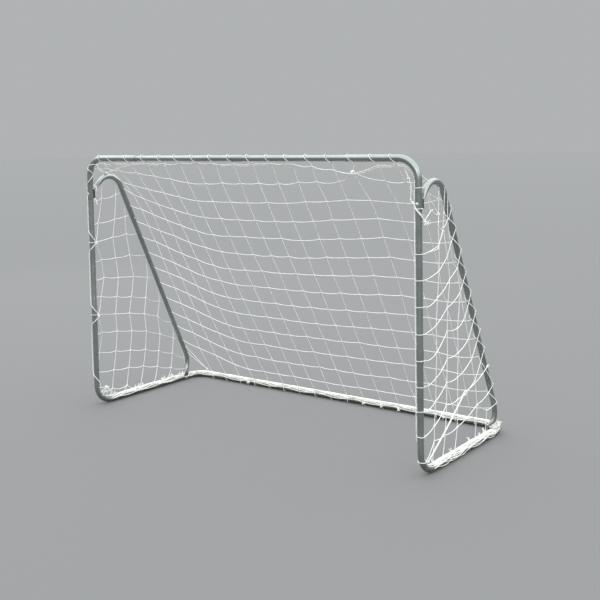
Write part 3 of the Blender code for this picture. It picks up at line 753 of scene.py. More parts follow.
def stripLevel(bore):
    # height of the spring leg's outer face over the tube's axis, as the frame has it
    flat = (bore - buttonSizes["clearance"]) * math.cos(math.pi / 16)
    return math.sqrt(flat ** 2 - (buttonSizes["stripWidth"] / 2) ** 2)


def makeButton(name, outer, bore):
    size = buttonSizes
    level = stripLevel(bore)
    tip, base = outer + size["proud"], level - size["stripThickness"] / 2
    radius = size["radius"]
    deselectAll()
    bpy.ops.mesh.primitive_circle_add(vertices=28, radius=radius, fill_type="NGON", location=(0, 0, base))
    piece = bpy.context.object
    piece.name = piece.data.name = name
    place(piece)
    bpy.ops.object.mode_set(mode="EDIT")
    bpy.ops.mesh.select_all(action="SELECT")
    height, width = tip - size["dome"], radius
    bpy.ops.mesh.extrude_region_move(TRANSFORM_OT_translate={"value": (0, 0, height - base)})
    for share in (0.25, 0.5, 0.72, 0.88, 0.97):
        newHeight = tip - size["dome"] * (1 - math.sin(share * math.pi / 2))
        newWidth = radius * math.cos(share * math.pi / 2) ** 0.8
        bpy.ops.mesh.extrude_region_move(TRANSFORM_OT_translate={"value": (0, 0, newHeight - height)})
        factor = newWidth / width
        bpy.ops.transform.resize(value=(factor, factor, 1), center_override=(0, 0, newHeight))
        height, width = newHeight, newWidth
    bpy.ops.mesh.select_all(action="SELECT")
    bpy.ops.mesh.normals_make_consistent(inside=False)
    bpy.ops.object.mode_set(mode="OBJECT")
    # the spring's free leg, a strip with rounded front corners
    deselectAll()
    length = size["stripFront"] + size["stripBack"]
    bpy.ops.mesh.primitive_cube_add(size=1, location=(length / 2 - size["stripFront"], 0, base))
    strip = bpy.context.object
    strip.scale = (length, size["stripWidth"], size["stripThickness"])
    place(strip)
    front = -size["stripFront"]
    edge, near = size["stripWidth"] / 2, 1e-5
    selectWhere(strip, lambda c: abs(c.x - front) < near and abs(abs(c.y) - edge) < near, "EDGE")
    bpy.ops.mesh.bevel(offset=size["stripCorner"], segments=6, affect="EDGES")
    bpy.ops.object.mode_set(mode="OBJECT")
    applyModifier(strip, "BEVEL", width=0.00012, segments=2, limit_method="ANGLE",
                  angle_limit=math.radians(50))
    applyModifier(piece, "BOOLEAN", operation="UNION", solver="EXACT", object=strip)
    bpy.data.objects.remove(strip, do_unlink=True)
    smooth(piece, 40)
    return piece


def snapPlaces():
    # every button joint: where, which way into the inner tube, and which way the button faces
    outer = jointPlaces["crossX"] + overlap - buttonAt
    for bar, y, z in (("crossbar", frontY, barZ), ("rear_bar", rearY, groundZ)):
        yield f"{bar}_centre", (overlap - buttonAt, y, z), (-1, 0, 0), (0, 1, 0), "wide"
        for label, side in (("left", -1), ("right", 1)):
            yield f"{bar}_{label}", (side * outer, y, z), (-side, 0, 0), (0, 1, 0), "wide"
    down = Vector((math.cos(hoop["leg"]), math.sin(hoop["leg"])))
    onLeg = hoop["legStart"] + down * (hoopSizes["upperLeg"] - buttonAt)
    for label, side in (("left", -1), ("right", 1)):
        yield (f"upright_{label}", (side * sideX, frontY, jointPlaces["lowZ"] + overlap - buttonAt),
               (0, 0, -1), (0, 1, 0), "wide")
        yield (f"side_{label}", (side * sideX, jointPlaces["sideY"] + overlap - buttonAt, groundZ),
               (0, -1, 0), (-side, 0, 0), "wide")
        yield f"hoop_{label}", (side * sideX, onLeg.x, onLeg.y), (0, down.x, down.y), (-side, 0, 0), "hoop"


def setButtons():
    tubeBore = tubeRadius - wall
    hoopBore = tubeSizes["hoopLowerRadius"] - wall
    models = {"wide": makeButton("buttonWide", socketRadius, tubeBore),
              "hoop": makeButton("buttonHoop", tubeRadius, hoopBore)}
    for name, at, into, faces, kind in snapPlaces():
        piece = copyOf(models[kind], f"{name}_snap", axisFrame(at, into, faces))
        finishPiece(piece, f"{name}_button", "zinc", zinc, f"{name}_button")
    for model in models.values():
        bpy.data.objects.remove(model, do_unlink=True)
    print("buttons made")


boltSizes = {
    "shank": 0.003,
    "head": 0.007,
    "headHeight": 0.0034,
    "washer": 0.00625,
    "washerThickness": 0.0012,
    "nutAcross": 0.010,
    "nutHeight": 0.006,
    "tail": 0.0025,
    "threadPitch": 0.001,
    "threadDepth": 0.0004,
    "chamfer": 0.0007,
    "edge": 0.0004,             # rounding under the head
    "washerEdge": 0.00025,
    "nutChamfer": 0.0011,
    "tab": 0.0025,
    "gap": 0.0003,
}


def roundUp(name, profile, sides):
    # a profile of (radius, height) spun round Z by the spin operator
    mesh = bpy.data.meshes.new(name)
    mesh.from_pydata([(r, 0, z) for r, z in profile], [(i, i + 1) for i in range(len(profile) - 1)], [])
    piece = bpy.data.objects.new(name, mesh)
    bpy.context.scene.collection.objects.link(piece)
    pick(piece)
    bpy.ops.object.mode_set(mode="EDIT")
    bpy.ops.mesh.select_all(action="SELECT")
    bpy.ops.mesh.spin(steps=sides, angle=2 * math.pi, center=(0, 0, 0), axis=(0, 0, 1))
    bpy.ops.mesh.select_all(action="SELECT")
    bpy.ops.mesh.remove_doubles(threshold=1e-6)
    bpy.ops.mesh.normals_make_consistent(inside=False)
    bpy.ops.object.mode_set(mode="OBJECT")
    return piece


def makeBolt():
    size = boltSizes
    seat = socketRadius + size["gap"]
    washerTop = socketRadius + size["tab"] + 2 * size["gap"]
    nutTop = washerTop + size["washerThickness"] + size["gap"]
    end = nutTop + size["nutHeight"] + size["tail"]
    shank, head, pitch, edge = size["shank"], size["head"], size["threadPitch"], size["edge"]
    z = -end + size["chamfer"]
    profile = [(0, -end), (shank - 0.0008, -end), (shank - 0.0001, z)]
    while z < -nutTop - pitch:      # thread as close rings
        profile += [(shank - size["threadDepth"], z + 0.25 * pitch), (shank, z + 0.75 * pitch)]
        z += pitch
    profile += [(shank, -nutTop), (shank, seat), (head - edge, seat), (head, seat + edge)]
    steps = 6
    for k in range(1, steps):       # the domed head
        turn = math.radians(90 * k / steps)
        profile.append((head * math.cos(turn), seat + edge + (size["headHeight"] - edge) * math.sin(turn)))
    profile.append((0, seat + size["headHeight"]))
    bolt = roundUp("carriageBolt", profile, 28)
    smooth(bolt, 45)
    inner, outer = shank + size["gap"], size["washer"]
    low, high = -washerTop - size["washerThickness"], -washerTop
    edge = size["washerEdge"]
    ringProfile = [(inner, low + edge), (inner, high - edge), (inner + edge, high), (outer - edge, high),
                   (outer, high - edge), (outer, low + edge), (outer - edge, low), (inner + edge, low),
                   (inner, low + edge)]
    washer = roundUp("washer", ringProfile, 32)
    smooth(washer, 40)
    return bolt, washer, makeNut(nutTop)


def makeNut(top):
    size = boltSizes
    corner = size["nutAcross"] / 2 / math.cos(math.pi / 6)
    deselectAll()
    bpy.ops.mesh.primitive_cylinder_add(vertices=6, radius=corner, depth=size["nutHeight"],
                                        location=(0, 0, -top - size["nutHeight"] / 2))
    nut = bpy.context.object
    nut.name = nut.data.name = "nut"
    place(nut)
    # chamfered corners: what a cone leaves of the hexagon
    half = size["nutHeight"] / 2
    low, high = -top - 2 * half, -top
    flat, chamfer = size["nutAcross"] / 2 * 0.98, size["nutChamfer"]
    profile = [(0, low), (flat, low), (corner * 1.02, low + chamfer),
               (corner * 1.02, high - chamfer), (flat, high), (0, high)]
    tool = roundUp("nutTool", profile, 36)
    applyModifier(nut, "BOOLEAN", operation="INTERSECT", solver="EXACT", object=tool)
    bpy.data.objects.remove(tool, do_unlink=True)
    drillHole(nut, (0, 0, -top + 0.01), (0, 0, -1), size["shank"] + size["gap"], 0.03)
    smooth(nut, 25)
    return nut


def setBolts():
    bolt, washer, nut = makeBolt()
    models = {"bolt": bolt, "washer": washer, "nut": nut}
    for label, side in (("left", -1), ("right", 1)):
        top = axisFrame((side * sideX, frontY, jointPlaces["boltZ"]), (0, 0, 1), (0, -1, 0))
        foot = axisFrame((side * sideX, jointPlaces["footBoltY"], groundZ), (0, 1, 0), (side, 0, 0))
        for where, matrix in (("top", top), ("foot", foot)):
            for kind, model in models.items():
                piece = copyOf(model, f"hoop_{where}_{label}_{kind}_zinc", matrix)
                finishPiece(piece, "goal_frame", "zinc", zinc, f"hoop_{where}_{label}_{kind}")
    for model in models.values():
        bpy.data.objects.remove(model, do_unlink=True)
    print("bolts made")


setButtons()
setBolts()
for name, node in nodes.items():
    if name.endswith("_spring"):
        node.data.materials.clear()
        node.data.materials.append(springSteel)


# the net: knots held at the tubes, twines that may hang slack but not stretch
netSizes = {
    "twineRadius": 0.0014,
    "columns": 18,
    "rows": 14,
    "parts": 4,                 # pieces that a mesh's twine bends in
    "slack": {"back": 0.0012, "left": 0.002, "right": 0.0015},
    "gravity": 0.000003,
    "damping": 0.92,
    "relax": 1.6,               # how much of each twine's excess is taken up at once
    "passes": 3,
    "touchEvery": 3,            # rounds between two looks at the tubes
    "rounds": 700,
    "knotMajor": 0.0024,
    "knotMinor": 0.0015,
    "clear": 0.0004,
}
twine = netSizes["twineRadius"]
chance = random.Random(7)


def wander(size):
    return chance.uniform(-size, size)


def between(low, high, share):
    return low + (high - low) * share


def easeStep(value, low, high):
    share = min(1.0, max(0.0, (value - low) / (high - low)))
    return share * share * (3 - 2 * share)


def alongLine(points, share):
    lengths = [(b - a).length for a, b in zip(points, points[1:])]
    left = share * sum(lengths)
    for a, b, length in zip(points, points[1:], lengths):
        if left <= length:
            return a + (b - a) * (left / length)
        left -= length
    return points[-1]


def arcPoints(centre, radius, first, last, count):
    # points (u, v) on an arc, angles in degrees
    turns = [math.radians(between(first, last, k / count)) for k in range(count + 1)]
    return [centre + radius * Vector((math.cos(t), math.sin(t))) for t in turns]


def hoopAxis(side, radius=bend):
    # the hoop's axis from its crimped top to the ground, as points
    legOut = math.degrees(hoop["leg"]) + 90
    flat = [hoop["tabTop"]] + arcPoints(hoop["arch"], radius, math.degrees(hoop["touch"]), legOut, 9)
    flat += arcPoints(hoop["low"], radius, legOut, -hoopSizes["footAngle"], 6) + [hoop["bolt"]]
    return [Vector((side * sideX, p.x, p.y)) for p in flat]


def frameAxis(side):
    # half of the front frame: the middle of the crossbar, the corner, the upright and the ground tube
    corner = arcPoints(Vector((sideX - bend, barZ - bend)), bend, 90, 0, 6)
    points = [Vector((0, frontY, barZ))] + [Vector((side * p.x, frontY, p.y)) for p in corner]
    foot = arcPoints(Vector((frontY + bend, groundZ + bend)), bend, 180, 270, 6)
    points += [Vector((side * sideX, p.x, p.y)) for p in foot]
    back = arcPoints(Vector((sideX - bend, rearY - bend)), bend, 0, 90, 6)
    points += [Vector((side * p.x, p.y, groundZ)) for p in back]
    return points + [Vector((0, rearY, groundZ))]


def onTube(centre, degrees, radius):
    # a point beside an upright tube; 0 degrees faces +X and 90 degrees faces +Y
    turn = math.radians(degrees)
    return Vector((centre[0] + radius * math.cos(turn), centre[1] + radius * math.sin(turn), centre[2]))


class Web:
    # knots and the points between them, held together by twines
    def __init__(self):
        self.points, self.held, self.links, self.rests = [], [], [], []

    def knot(self, point, held=False):
        self.points.append(Vector(point))
        self.held.append(held)
        return len(self.points) - 1

    def twine(self, first, last, slack):
        # a twine between two knots; returns its points' numbers from end to end
        parts = netSizes["parts"]
        a, b = self.points[first], self.points[last]
        length = (b - a).length * (1 + slack) / parts
        line = [first]
        for k in range(1, parts):
            line.append(self.knot(a + (b - a) * (k / parts)))
        line.append(last)
        for pair in zip(line, line[1:]):
            self.links.append(pair)
            self.rests.append(length)
        return line

    def settle(self, axes, rounds):
        # position-based: gravity, then the twines' lengths, then the tubes that they lie on
        here = np.array([p[:] for p in self.points])
        before = here.copy()
        free = ~np.array(self.held)
        pairs, rests = np.array(self.links), np.array(self.rests)
        uses = np.bincount(pairs.ravel(), minlength=len(here))[:, None].clip(1)
        starts = np.array([a[:] for line, _ in axes for a in line[:-1]])
        ends = np.array([b[:] for line, _ in axes for b in line[1:]])
        radii = np.array([radius for line, radius in axes for _ in line[:-1]]) + twine + netSizes["clear"]
        spans = ends - starts
        squares = (spans ** 2).sum(1)
        for turn in range(rounds):
            step = (here - before) * netSizes["damping"]
            before = here.copy()
            here[free] += step[free]
            here[free, 2] -= netSizes["gravity"]
            for _ in range(netSizes["passes"]):
                gap = here[pairs[:, 1]] - here[pairs[:, 0]]
                size = np.sqrt((gap ** 2).sum(1)) + 1e-12
                over = (np.maximum(0.0, size - rests) / size)[:, None] * gap * 0.5
                shift = np.zeros_like(here)
                np.add.at(shift, pairs[:, 0], over)
                np.add.at(shift, pairs[:, 1], -over)
                here[free] += (shift / uses * netSizes["relax"])[free]
            if turn % netSizes["touchEvery"] and turn < rounds - 5:
                continue
            away = here[:, None, :] - starts[None]
            share = ((away * spans[None]).sum(2) / squares[None]).clip(0, 1)
            nearest = starts[None] + share[..., None] * spans[None]
            out = here[:, None, :] - nearest
            far = np.sqrt((out ** 2).sum(2)) + 1e-12
            deep = radii[None] - far
            worst = deep.argmax(1)
            rows = np.arange(len(here))
            depth = deep[rows, worst]
            inside = (depth > 0) & free
            push = out[rows, worst] / far[rows, worst][:, None] * depth[:, None]
            here[inside] += push[inside]
            here[:, 2] = here[:, 2].clip(twine + netSizes["clear"])
        self.points = [Vector(p) for p in here]


# the seam runs from the corner over the arch and down the hoop's leg
seamOut = tubeRadius + twine + 0.0022
# how far round the leg each seam lies, from the leg's back towards its outer side
backSeam = {-1: math.radians(60), 1: math.radians(-35)}
sideSeam = math.radians(62)


seamEnds = {
    # in from the upright's axis, back from the mouth, down from the crossbar's axis
    "start": (-0.0313, 0.0125, -0.0313),
    "second": (-0.004, 0.055, -0.068),
    # out from the ground tube, forward of the rear bar, over the ground tube
    "end": (0.006, -0.075, 0.004),
}


def seamLine(side, turn):
    out = bend + seamOut * math.cos(turn)
    across = seamOut * math.sin(turn)
    legOut = math.degrees(hoop["leg"]) + 90
    flat = arcPoints(hoop["arch"], out, 118, legOut, 6)
    flat += arcPoints(hoop["low"], out, legOut, -hoopSizes["footAngle"] + 4, 5)
    points = [Vector((side * (sideX + across), p.x, p.y)) for p in flat]
    first = [Vector((side * (sideX + x), frontY + y, barZ + z))
             for x, y, z in (seamEnds["start"], seamEnds["second"])]
    x, y, z = seamEnds["end"]
    return first + points + [Vector((side * (sideX + x), rearY + y, groundZ + socketRadius + z))]


def seamAt(side, z):
    # the outer side of the hoop's leg at a height
    line = seamLine(side, sideSeam)
    for a, b in zip(line[4:], line[5:]):
        if b.z <= z <= a.z:
            return a + (b - a) * ((a.z - z) / (a.z - b.z))
    return line[-2]


loopPlaces = [-0.808, -0.738, -0.626, -0.518, -0.412, -0.308, -0.205, -0.103, 0.0,
              0.104, 0.207, 0.309, 0.410, 0.512, 0.616, 0.718, 0.806]


def bendDrop(x):
    # how far the corner bends take the crossbar down, or the rear bar forwards, at x
    past = max(0.0, abs(x) - (sideX - bend))
    return bend - math.sqrt(max(0.0, bend ** 2 - past ** 2))


def bendLean(x):
    # the tube's slope in its bend at x, as an angle
    past = max(0.0, abs(x) - (sideX - bend))
    return math.asin(min(0.98, past / bend)) * (1 if x > 0 else -1)


def footBow(z):
    # how far the lower front bend takes the upright back at z
    return bend - math.sqrt(max(0.0, bend ** 2 - max(0.0, groundZ + bend - z) ** 2))


def columnTop(i):
    x = loopPlaces[i - 1]
    y = frontY + 0.006 + wander(0.002)
    return Vector((x, y, barZ - bendDrop(x) - socketRadius - 0.006 - abs(wander(0.007))))


def columnFoot(i):
    x = (sideX - 0.045) * (2 * i / netSizes["columns"] - 1) * 1.02
    return Vector((x, rearY - bendDrop(x) - 0.004, groundZ + socketRadius + twine + 0.001))


# the column that the hem's knot pulls up, where the back turns into the right side
crest = {"column": 15, "knot": (0.606, 0.004, 1.154), "lift": 0.046, "reach": (4.2, 2.2)}
crestKnot = Vector((crest["knot"][0], frontY + crest["knot"][1], crest["knot"][2]))


def seamShare(side, j):
    # the left net starts high on its leg, the right one low
    rows = netSizes["rows"]
    if side < 0:
        return 0.02 if j == 1 else (0.928 * j - 0.14) / rows
    return j / rows if j == 1 else (j + 0.80 * (1 - (j / rows) ** 2)) / rows


def makeBackNet(web):
    columns, rows = netSizes["columns"], netSizes["rows"]
    seams = {side: seamLine(side, backSeam[side]) for side in (-1, 1)}
    grid = []
    for j in range(rows + 1):
        share = j / rows
        line = []
        for i in range(columns + 1):
            if i in (0, columns):
                side = -1 if i == 0 else 1
                at = share if j in (0, rows) else seamShare(side, j)
                line.append(web.knot(alongLine(seams[side], at), held=True))
                continue
            if j == 0:
                line.append(web.knot(columnTop(i), held=True))
                continue
            if j == rows:
                line.append(web.knot(columnFoot(i), held=True))
                continue
            top, foot = web.points[grid[0][i]], columnFoot(i)
            if j == 1 and i == crest["column"]:
                line.append(web.knot(crestKnot, held=True))
                continue
            straight = top + (foot - top) * share
            side = 1 if i > columns / 2 else -1
            outside = alongLine(seams[side], seamShare(side, j))
            u = abs(2 * i / columns - 1)
            drawn = easeStep(u, 0.20 + 0.35 * share if side < 0 else 0.55, 1.0)
            point = Vector((straight.x + wander(0.004), between(straight.y, outside.y, drawn),
                            between(straight.z, outside.z, drawn)))
            away = i - crest["column"]
            reach = crest["reach"][0 if away < 0 else 1]
            lift = crest["lift"] * (1 - share) * max(0.0, 1 - abs(away) / reach)
            lift += 0.005 * math.sin(math.pi * share)
            point += Vector((0, 0.4 * lift, lift)) + Vector((0, wander(0.002), wander(0.004)))
            line.append(web.knot(point))
        grid.append(line)
    slack = netSizes["slack"]["back"]
    lines = {"rows": [], "columns": [], "seams": []}
    for j in range(1, rows):
        whole = []
        for i in range(columns):
            part = web.twine(grid[j][i], grid[j][i + 1], slack + abs(wander(0.0016)))
            whole += part if not whole else part[1:]
        lines["rows"].append(whole)
    for i in range(columns + 1):
        whole = []
        for j in range(rows):
            loose = 0.0 if i in (0, columns) else slack + abs(wander(0.0012))
            part = web.twine(grid[j][i], grid[j + 1][i], loose)
            whole += part if not whole else part[1:]
        lines["seams" if i in (0, columns) else "columns"].append(whole)
    return grid, lines


sideNet = {
    # heights at which the rows meet the uprights
    "leftRows": (0.999, 0.886, 0.803, 0.708, 0.622, 0.534, 0.450, 0.364, 0.262, 0.168, 0.082),
    "rightRows": (0.850, 0.752, 0.651, 0.549, 0.449, 0.351, 0.257, 0.162, 0.063),
    "tied": (2, 6),             # rows of the left net that are tied to the upright with the hem
    "mesh": 0.100,
    "out": 0.006,
    # the last mesh before the foot of the right leg: its knot, and where it is held
    "lastKnot": (0.008, 0.539, 0.139),
    "lastHeld": (0.002, 0.542, 0.004),
    "lastSeam": 0.147,
}


def leftKnots(r, front):
    # drawn forward by the tied rows; the upper rows climb to the rear and the others fall
    gather = -0.020 * math.cos(math.pi * (r - 2) / 2) if r < 8 else -0.018 * (r - 7)
    rise = 0.15 * (1 - easeStep(r, 2.5, 5.0))
    fall = 0.42 * easeStep(r, 0, 3) - 0.12 * easeStep(r, 7, 9)
    legZ = front
    for _ in range(4):
        reach = seamAt(-1, legZ).y - frontY
        legZ = front + rise * reach - fall * reach ** 2
    last = 0.25 if r == len(sideNet["leftRows"]) - 1 else reach - 0.035
    knots = []
    for c in range(6):
        y = 0.052 + sideNet["mesh"] * c + gather + wander(0.003)
        if (c or r not in sideNet["tied"]) and y < last:
            knots.append((c, y, front + rise * y - fall * y ** 2 + wander(0.002)))
    return knots, seamAt(-1, max(legZ, 0.055))


def rightLegZ(r):
    # height at which a row of the right net reaches the leg
    return sideNet["rightRows"][r] + 0.162 + 0.0115 * r if r < 8 else 0.232


def rightKnots(r, front):
    # the right net hangs from the leg, so its rows climb away from the upright's rings
    leg = seamAt(1, rightLegZ(r))
    near = min(0.225 + 0.029 * r, leg.y - frontY - 0.036)
    knots = [(0, 0.132 - 0.006 * r, front + (0.018 if r < 8 else 0.060)),
             (1, min(0.226 - 0.006 * r, near - 0.028), front + (0.080 if r < 8 else 0.062))]
    if r > 3:
        knots.append((2, 0.302 - 0.003 * r, front + (0.076 if r < 8 else 0.064)))
    knots.append((3, near, front + 0.120))
    return [(c, y + wander(0.010), z + wander(0.008)) for c, y, z in knots], leg


def columnHold(side, y):
    # where a column hangs from the hoop: under the arch, or on the leg
    for a, b in zip(hoopAxis(side)[1:], hoopAxis(side)[2:]):
        if a.y <= y <= b.y and b.y > a.y:
            at = a + (b - a) * ((y - a.y) / (b.y - a.y))
            under = y < hoop["arch"].x + 0.05
            return at + Vector((side * 0.003, 0, -0.0152) if under else (side * 0.0150, 0, 0))
    return hoopAxis(side)[1]


def looseTwines(web, line, slack):
    return [web.twine(a, b, slack * (0.5 + chance.random())) for a, b in zip(line, line[1:])]


def makeSideNet(web, side):
    slack = netSizes["slack"]["left" if side < 0 else "right"]
    fronts = sideNet["leftRows" if side < 0 else "rightRows"]
    lines = {"rows": [], "columns": [], "fronts": []}
    chains = {c: [] for c in range(6)}
    for r, front in enumerate(fronts):
        tied = side < 0 and r in sideNet["tied"]
        degrees = 38 if tied else (188 if side < 0 else 30)
        bow = footBow(front)
        start = onTube((side * sideX, frontY + bow, front), degrees + wander(5),
                       socketRadius + twine + 0.0012)
        line = [web.knot(start, held=True)]
        lines["fronts"].append((line[0], bow, tied))
        if tied:
            chains[0].append(line[0])
        knots, end = (leftKnots if side < 0 else rightKnots)(r, front)
        for c, y, z in knots:
            x = side * (sideX + sideNet["out"] + 0.006 * math.sin(31 * y + r) + wander(0.003))
            line.append(web.knot((x, frontY + y, z)))
            chains[c].append(line[-1])
        if side > 0 or r < len(fronts) - 1:
            line.append(web.knot(end, held=True))
        else:
            line.append(web.knot((side * sideX, frontY + 0.300, groundZ + socketRadius + 0.003), held=True))
        lines["rows"].append(looseTwines(web, line, slack))
    for c, chain in chains.items():
        if not chain:
            continue
        top, last = web.points[chain[0]], web.points[chain[-1]]
        if side > 0 and c == 2:
            first = chains[3][3]
        else:
            first = web.knot(columnHold(side, top.y if side < 0 or c > 1 else top.y + 0.015), held=True)
        footY = max(last.y - (0.04 if side < 0 else 0.012), frontY + bend)
        foot = web.knot((side * (sideX + 0.002), footY + wander(0.008),
                         groundZ + socketRadius + twine + 0.002), held=True)
        lines["columns"].append(looseTwines(web, [first] + chain + [foot], slack))
    if side > 0:
        # the last mesh before the foot of the leg
        x, y, z = sideNet["lastKnot"]
        low = web.knot((sideX + x, frontY + y, z))
        x, y, z = sideNet["lastHeld"]
        ends = [chains[3][-1], web.knot(seamAt(1, sideNet["lastSeam"]), held=True),
                web.knot((sideX + x, frontY + y, groundZ + socketRadius + z), held=True)]
        lines["columns"].append([web.twine(low, other, slack) for other in ends])
    return lines


web = Web()
backGrid, backLines = makeBackNet(web)
sideLines = {side: makeSideNet(web, side) for side in (-1, 1)}
tubeAxes = [(frameAxis(side), socketRadius) for side in (-1, 1)]
tubeAxes += [(hoopAxis(side), tubeRadius) for side in (-1, 1)]
web.settle(tubeAxes, netSizes["rounds"])
print("net settled:", len(web.points), "points,", len(web.links), "links")


# cords: a round section carried along a path, its map running along the cord
def resample(points, spacing):
    points = [Vector(p) for p in points]
    total = sum((b - a).length for a, b in zip(points, points[1:]))
    count = max(2, round(total / spacing))
    return [alongLine(points, k / count) for k in range(count + 1)]


def curveThrough(points, spacing):
    # a smooth curve through the points
    points = [Vector(p) for p in points]
    made = []
    for i in range(len(points) - 1):
        p0, p1, p2, p3 = (points[min(max(k, 0), len(points) - 1)] for k in range(i - 1, i + 3))
        count = max(1, round((p2 - p1).length / spacing))
        for k in range(count):
            t = k / count
            made.append(0.5 * (2 * p1 + (p2 - p0) * t + (2 * p0 - 5 * p1 + 4 * p2 - p3) * t ** 2
                               + (3 * p1 - p0 - 3 * p2 + p3) * t ** 3))
    made.append(points[-1])
    return made


def pathFrames(points):
    # tangent and two cross directions at each point, carried along without twist
    clean = [points[0]]
    for p in points[1:]:
        if (p - clean[-1]).length > 1e-5:
            clean.append(p)
    frames = []
    tangents = []
    for i in range(len(clean)):
        a, b = clean[max(0, i - 1)], clean[min(len(clean) - 1, i + 1)]
        tangents.append((b - a).normalized())
    across = tangents[0].orthogonal().normalized()
    for point, tangent in zip(clean, tangents):
        across = (across - tangent * across.dot(tangent)).normalized()
        frames.append((point, tangent, across, tangent.cross(across)))
    return frames


def strandPaths(points, ropeRadius, strands, pitch):
    # the strands of a laid rope, wound round the path
    frames = pathFrames(resample(points, pitch / 7))
    centre = ropeRadius * 0.47
    made = []
    for s in range(strands):
        line, length = [], 0.0
        for i, (point, _, a, b) in enumerate(frames):
            if i:
                length += (point - frames[i - 1][0]).length
            turn = 2 * math.pi * (s / strands + length / pitch)
            line.append(point + centre * (math.cos(turn) * a + math.sin(turn) * b))
        made.append(line)
    return made


class CordMesh:
    # gathers many cords into one mesh
    def __init__(self):
        self.points, self.faces, self.maps = [], [], []

    def cord(self, path, radius, sides=6, taper=0):
        lowest = 1.35 * radius + 0.0002
        frames = pathFrames([Vector((p[0], p[1], max(p[2], lowest))) for p in path])
        base, length = len(self.points), 0.0
        lengths = []
        for i, (point, *_) in enumerate(frames):
            if i:
                length += (point - frames[i - 1][0]).length
            lengths.append(length)
        for i, (point, _, a, b) in enumerate(frames):
            size = radius
            if 0 < i < len(frames) - 1:
                before = (point - frames[i - 1][0]).normalized()
                after = (frames[i + 1][0] - point).normalized()
                size = radius / max(0.75, math.sqrt(max(0.0, (1 + before.dot(after)) / 2)))
            if taper:
                size *= 1 - taper * (i / (len(frames) - 1)) ** 2
            for k in range(sides):
                turn = 2 * math.pi * k / sides
                self.points.append(point + size * (math.cos(turn) * a + math.sin(turn) * b))
        for i in range(len(frames) - 1):
            for k in range(sides):
                n = (k + 1) % sides
                first, second = base + i * sides, base + (i + 1) * sides
                self.faces.append((first + k, first + n, second + n, second + k))
                self.maps.append([(k / sides, lengths[i]), ((k + 1) / sides, lengths[i]),
                                  ((k + 1) / sides, lengths[i + 1]), (k / sides, lengths[i + 1])])
        last = base + (len(frames) - 1) * sides
        self.faces.append(tuple(base + k for k in reversed(range(sides))))
        self.maps.append([(0, 0)] * sides)
        self.faces.append(tuple(last + k for k in range(sides)))
        self.maps.append([(0, length)] * sides)

    def shape(self, points, faces, matrix):
        # a small modelled shape, such as a knot, set in place
        base = len(self.points)
        self.points += [matrix @ p for p in points]
        for face in faces:
            self.faces.append(tuple(base + i for i in face))
            self.maps.append([(0.5 * (k % 2), 0.002 * k) for k in range(len(face))])

    def rope(self, path, radius, strands=3, pitch=0.013, sides=5):
        for line in strandPaths(path, radius, strands, pitch):
            self.cord(line, radius * 0.56, sides)

    def piece(self, name):
        mesh = bpy.data.meshes.new(name)
        mesh.from_pydata([p[:] for p in self.points], [], self.faces)
        layer = mesh.uv_layers.new(name="alongCord")
        flat = [value for face in self.maps for uv in face for value in uv]
        layer.data.foreach_set("uv", flat)
        made = bpy.data.objects.new(name, mesh)
        bpy.context.scene.collection.objects.link(made)
        smooth(made, 60)
        print("  ", name, sum(len(f) - 2 for f in self.faces), "triangles")
        return made


def makeKnot():
    # a twine wrapped once round the crossing: a coarse ring, opened like a spring washer and pinched
    deselectAll()
    bpy.ops.mesh.primitive_torus_add(major_segments=8, minor_segments=4, major_radius=netSizes["knotMajor"],
                                     minor_radius=netSizes["knotMinor"])
    piece = bpy.context.object
    piece.name = "knotModel"
    place(piece)
    selectWhere(piece, lambda c: c.x > 0.0008)
    bpy.ops.transform.translate(value=(0, 0, 0.0011))
    selectWhere(piece, lambda c: c.x < -0.0008)
    bpy.ops.transform.translate(value=(0, 0, -0.0011))
    bpy.ops.mesh.select_all(action="SELECT")
    bpy.ops.transform.resize(value=(1.15, 0.85, 1.1), center_override=(0, 0, 0))
    bpy.ops.object.mode_set(mode="OBJECT")
    points = [v.co.copy() for v in piece.data.vertices]
    faces = [tuple(f.vertices) for f in piece.data.polygons]
    bpy.data.objects.remove(piece, do_unlink=True)
    return points, faces


knotPoints, knotFaces = makeKnot()


def addKnot(target, point, size=1.0):
    turn = Matrix.Rotation(chance.uniform(0, 6.28), 4, "X")
    turn = turn @ Matrix.Rotation(chance.uniform(-0.9, 0.9), 4, "Y")
    at = Vector((point[0], point[1], max(point[2], 0.0048 * size)))
    target.shape(knotPoints, knotFaces, Matrix.Translation(at) @ turn @ Matrix.Scale(size, 4))


def lineOf(indices):
    return [web.points[i] for i in indices]


def ringRound(centre, axis, radius, start, degrees, tilt, count=16):
    # part of a ring round a tube; tilt is how far it climbs along the tube in a full turn
    axis = Vector(axis).normalized()
    a = Vector((0, 0, 1)) if abs(axis.z) < 0.9 else Vector((1, 0, 0))
    a = (a - axis * a.dot(axis)).normalized()
    b = axis.cross(a)
    points = []
    for k in range(count + 1):
        turn = math.radians(start + degrees * k / count)
        lift = tilt * (k / count - 0.5)
        points.append(Vector(centre) + radius * (math.cos(turn) * a + math.sin(turn) * b) + axis * lift)
    return points


def tuft(target, point, direction, length, radius, hairs=4):
    # a short cut end, its strands spreading
    direction = Vector(direction).normalized()
    for _ in range(hairs):
        spread = Vector((wander(0.5), wander(0.5), wander(0.5)))
        end = Vector(point) + (direction + spread).normalized() * length * chance.uniform(0.7, 1.1)
        bow = Vector((wander(0.25), wander(0.25), wander(0.25))) * length
        path = [Vector(point), (Vector(point) + end) / 2 + bow, end]
        path = [Vector((p.x, p.y, max(p.z, radius + 0.0005))) for p in curveThrough(path, length / 5)]
        target.cord(path, radius, 5, taper=0.4)


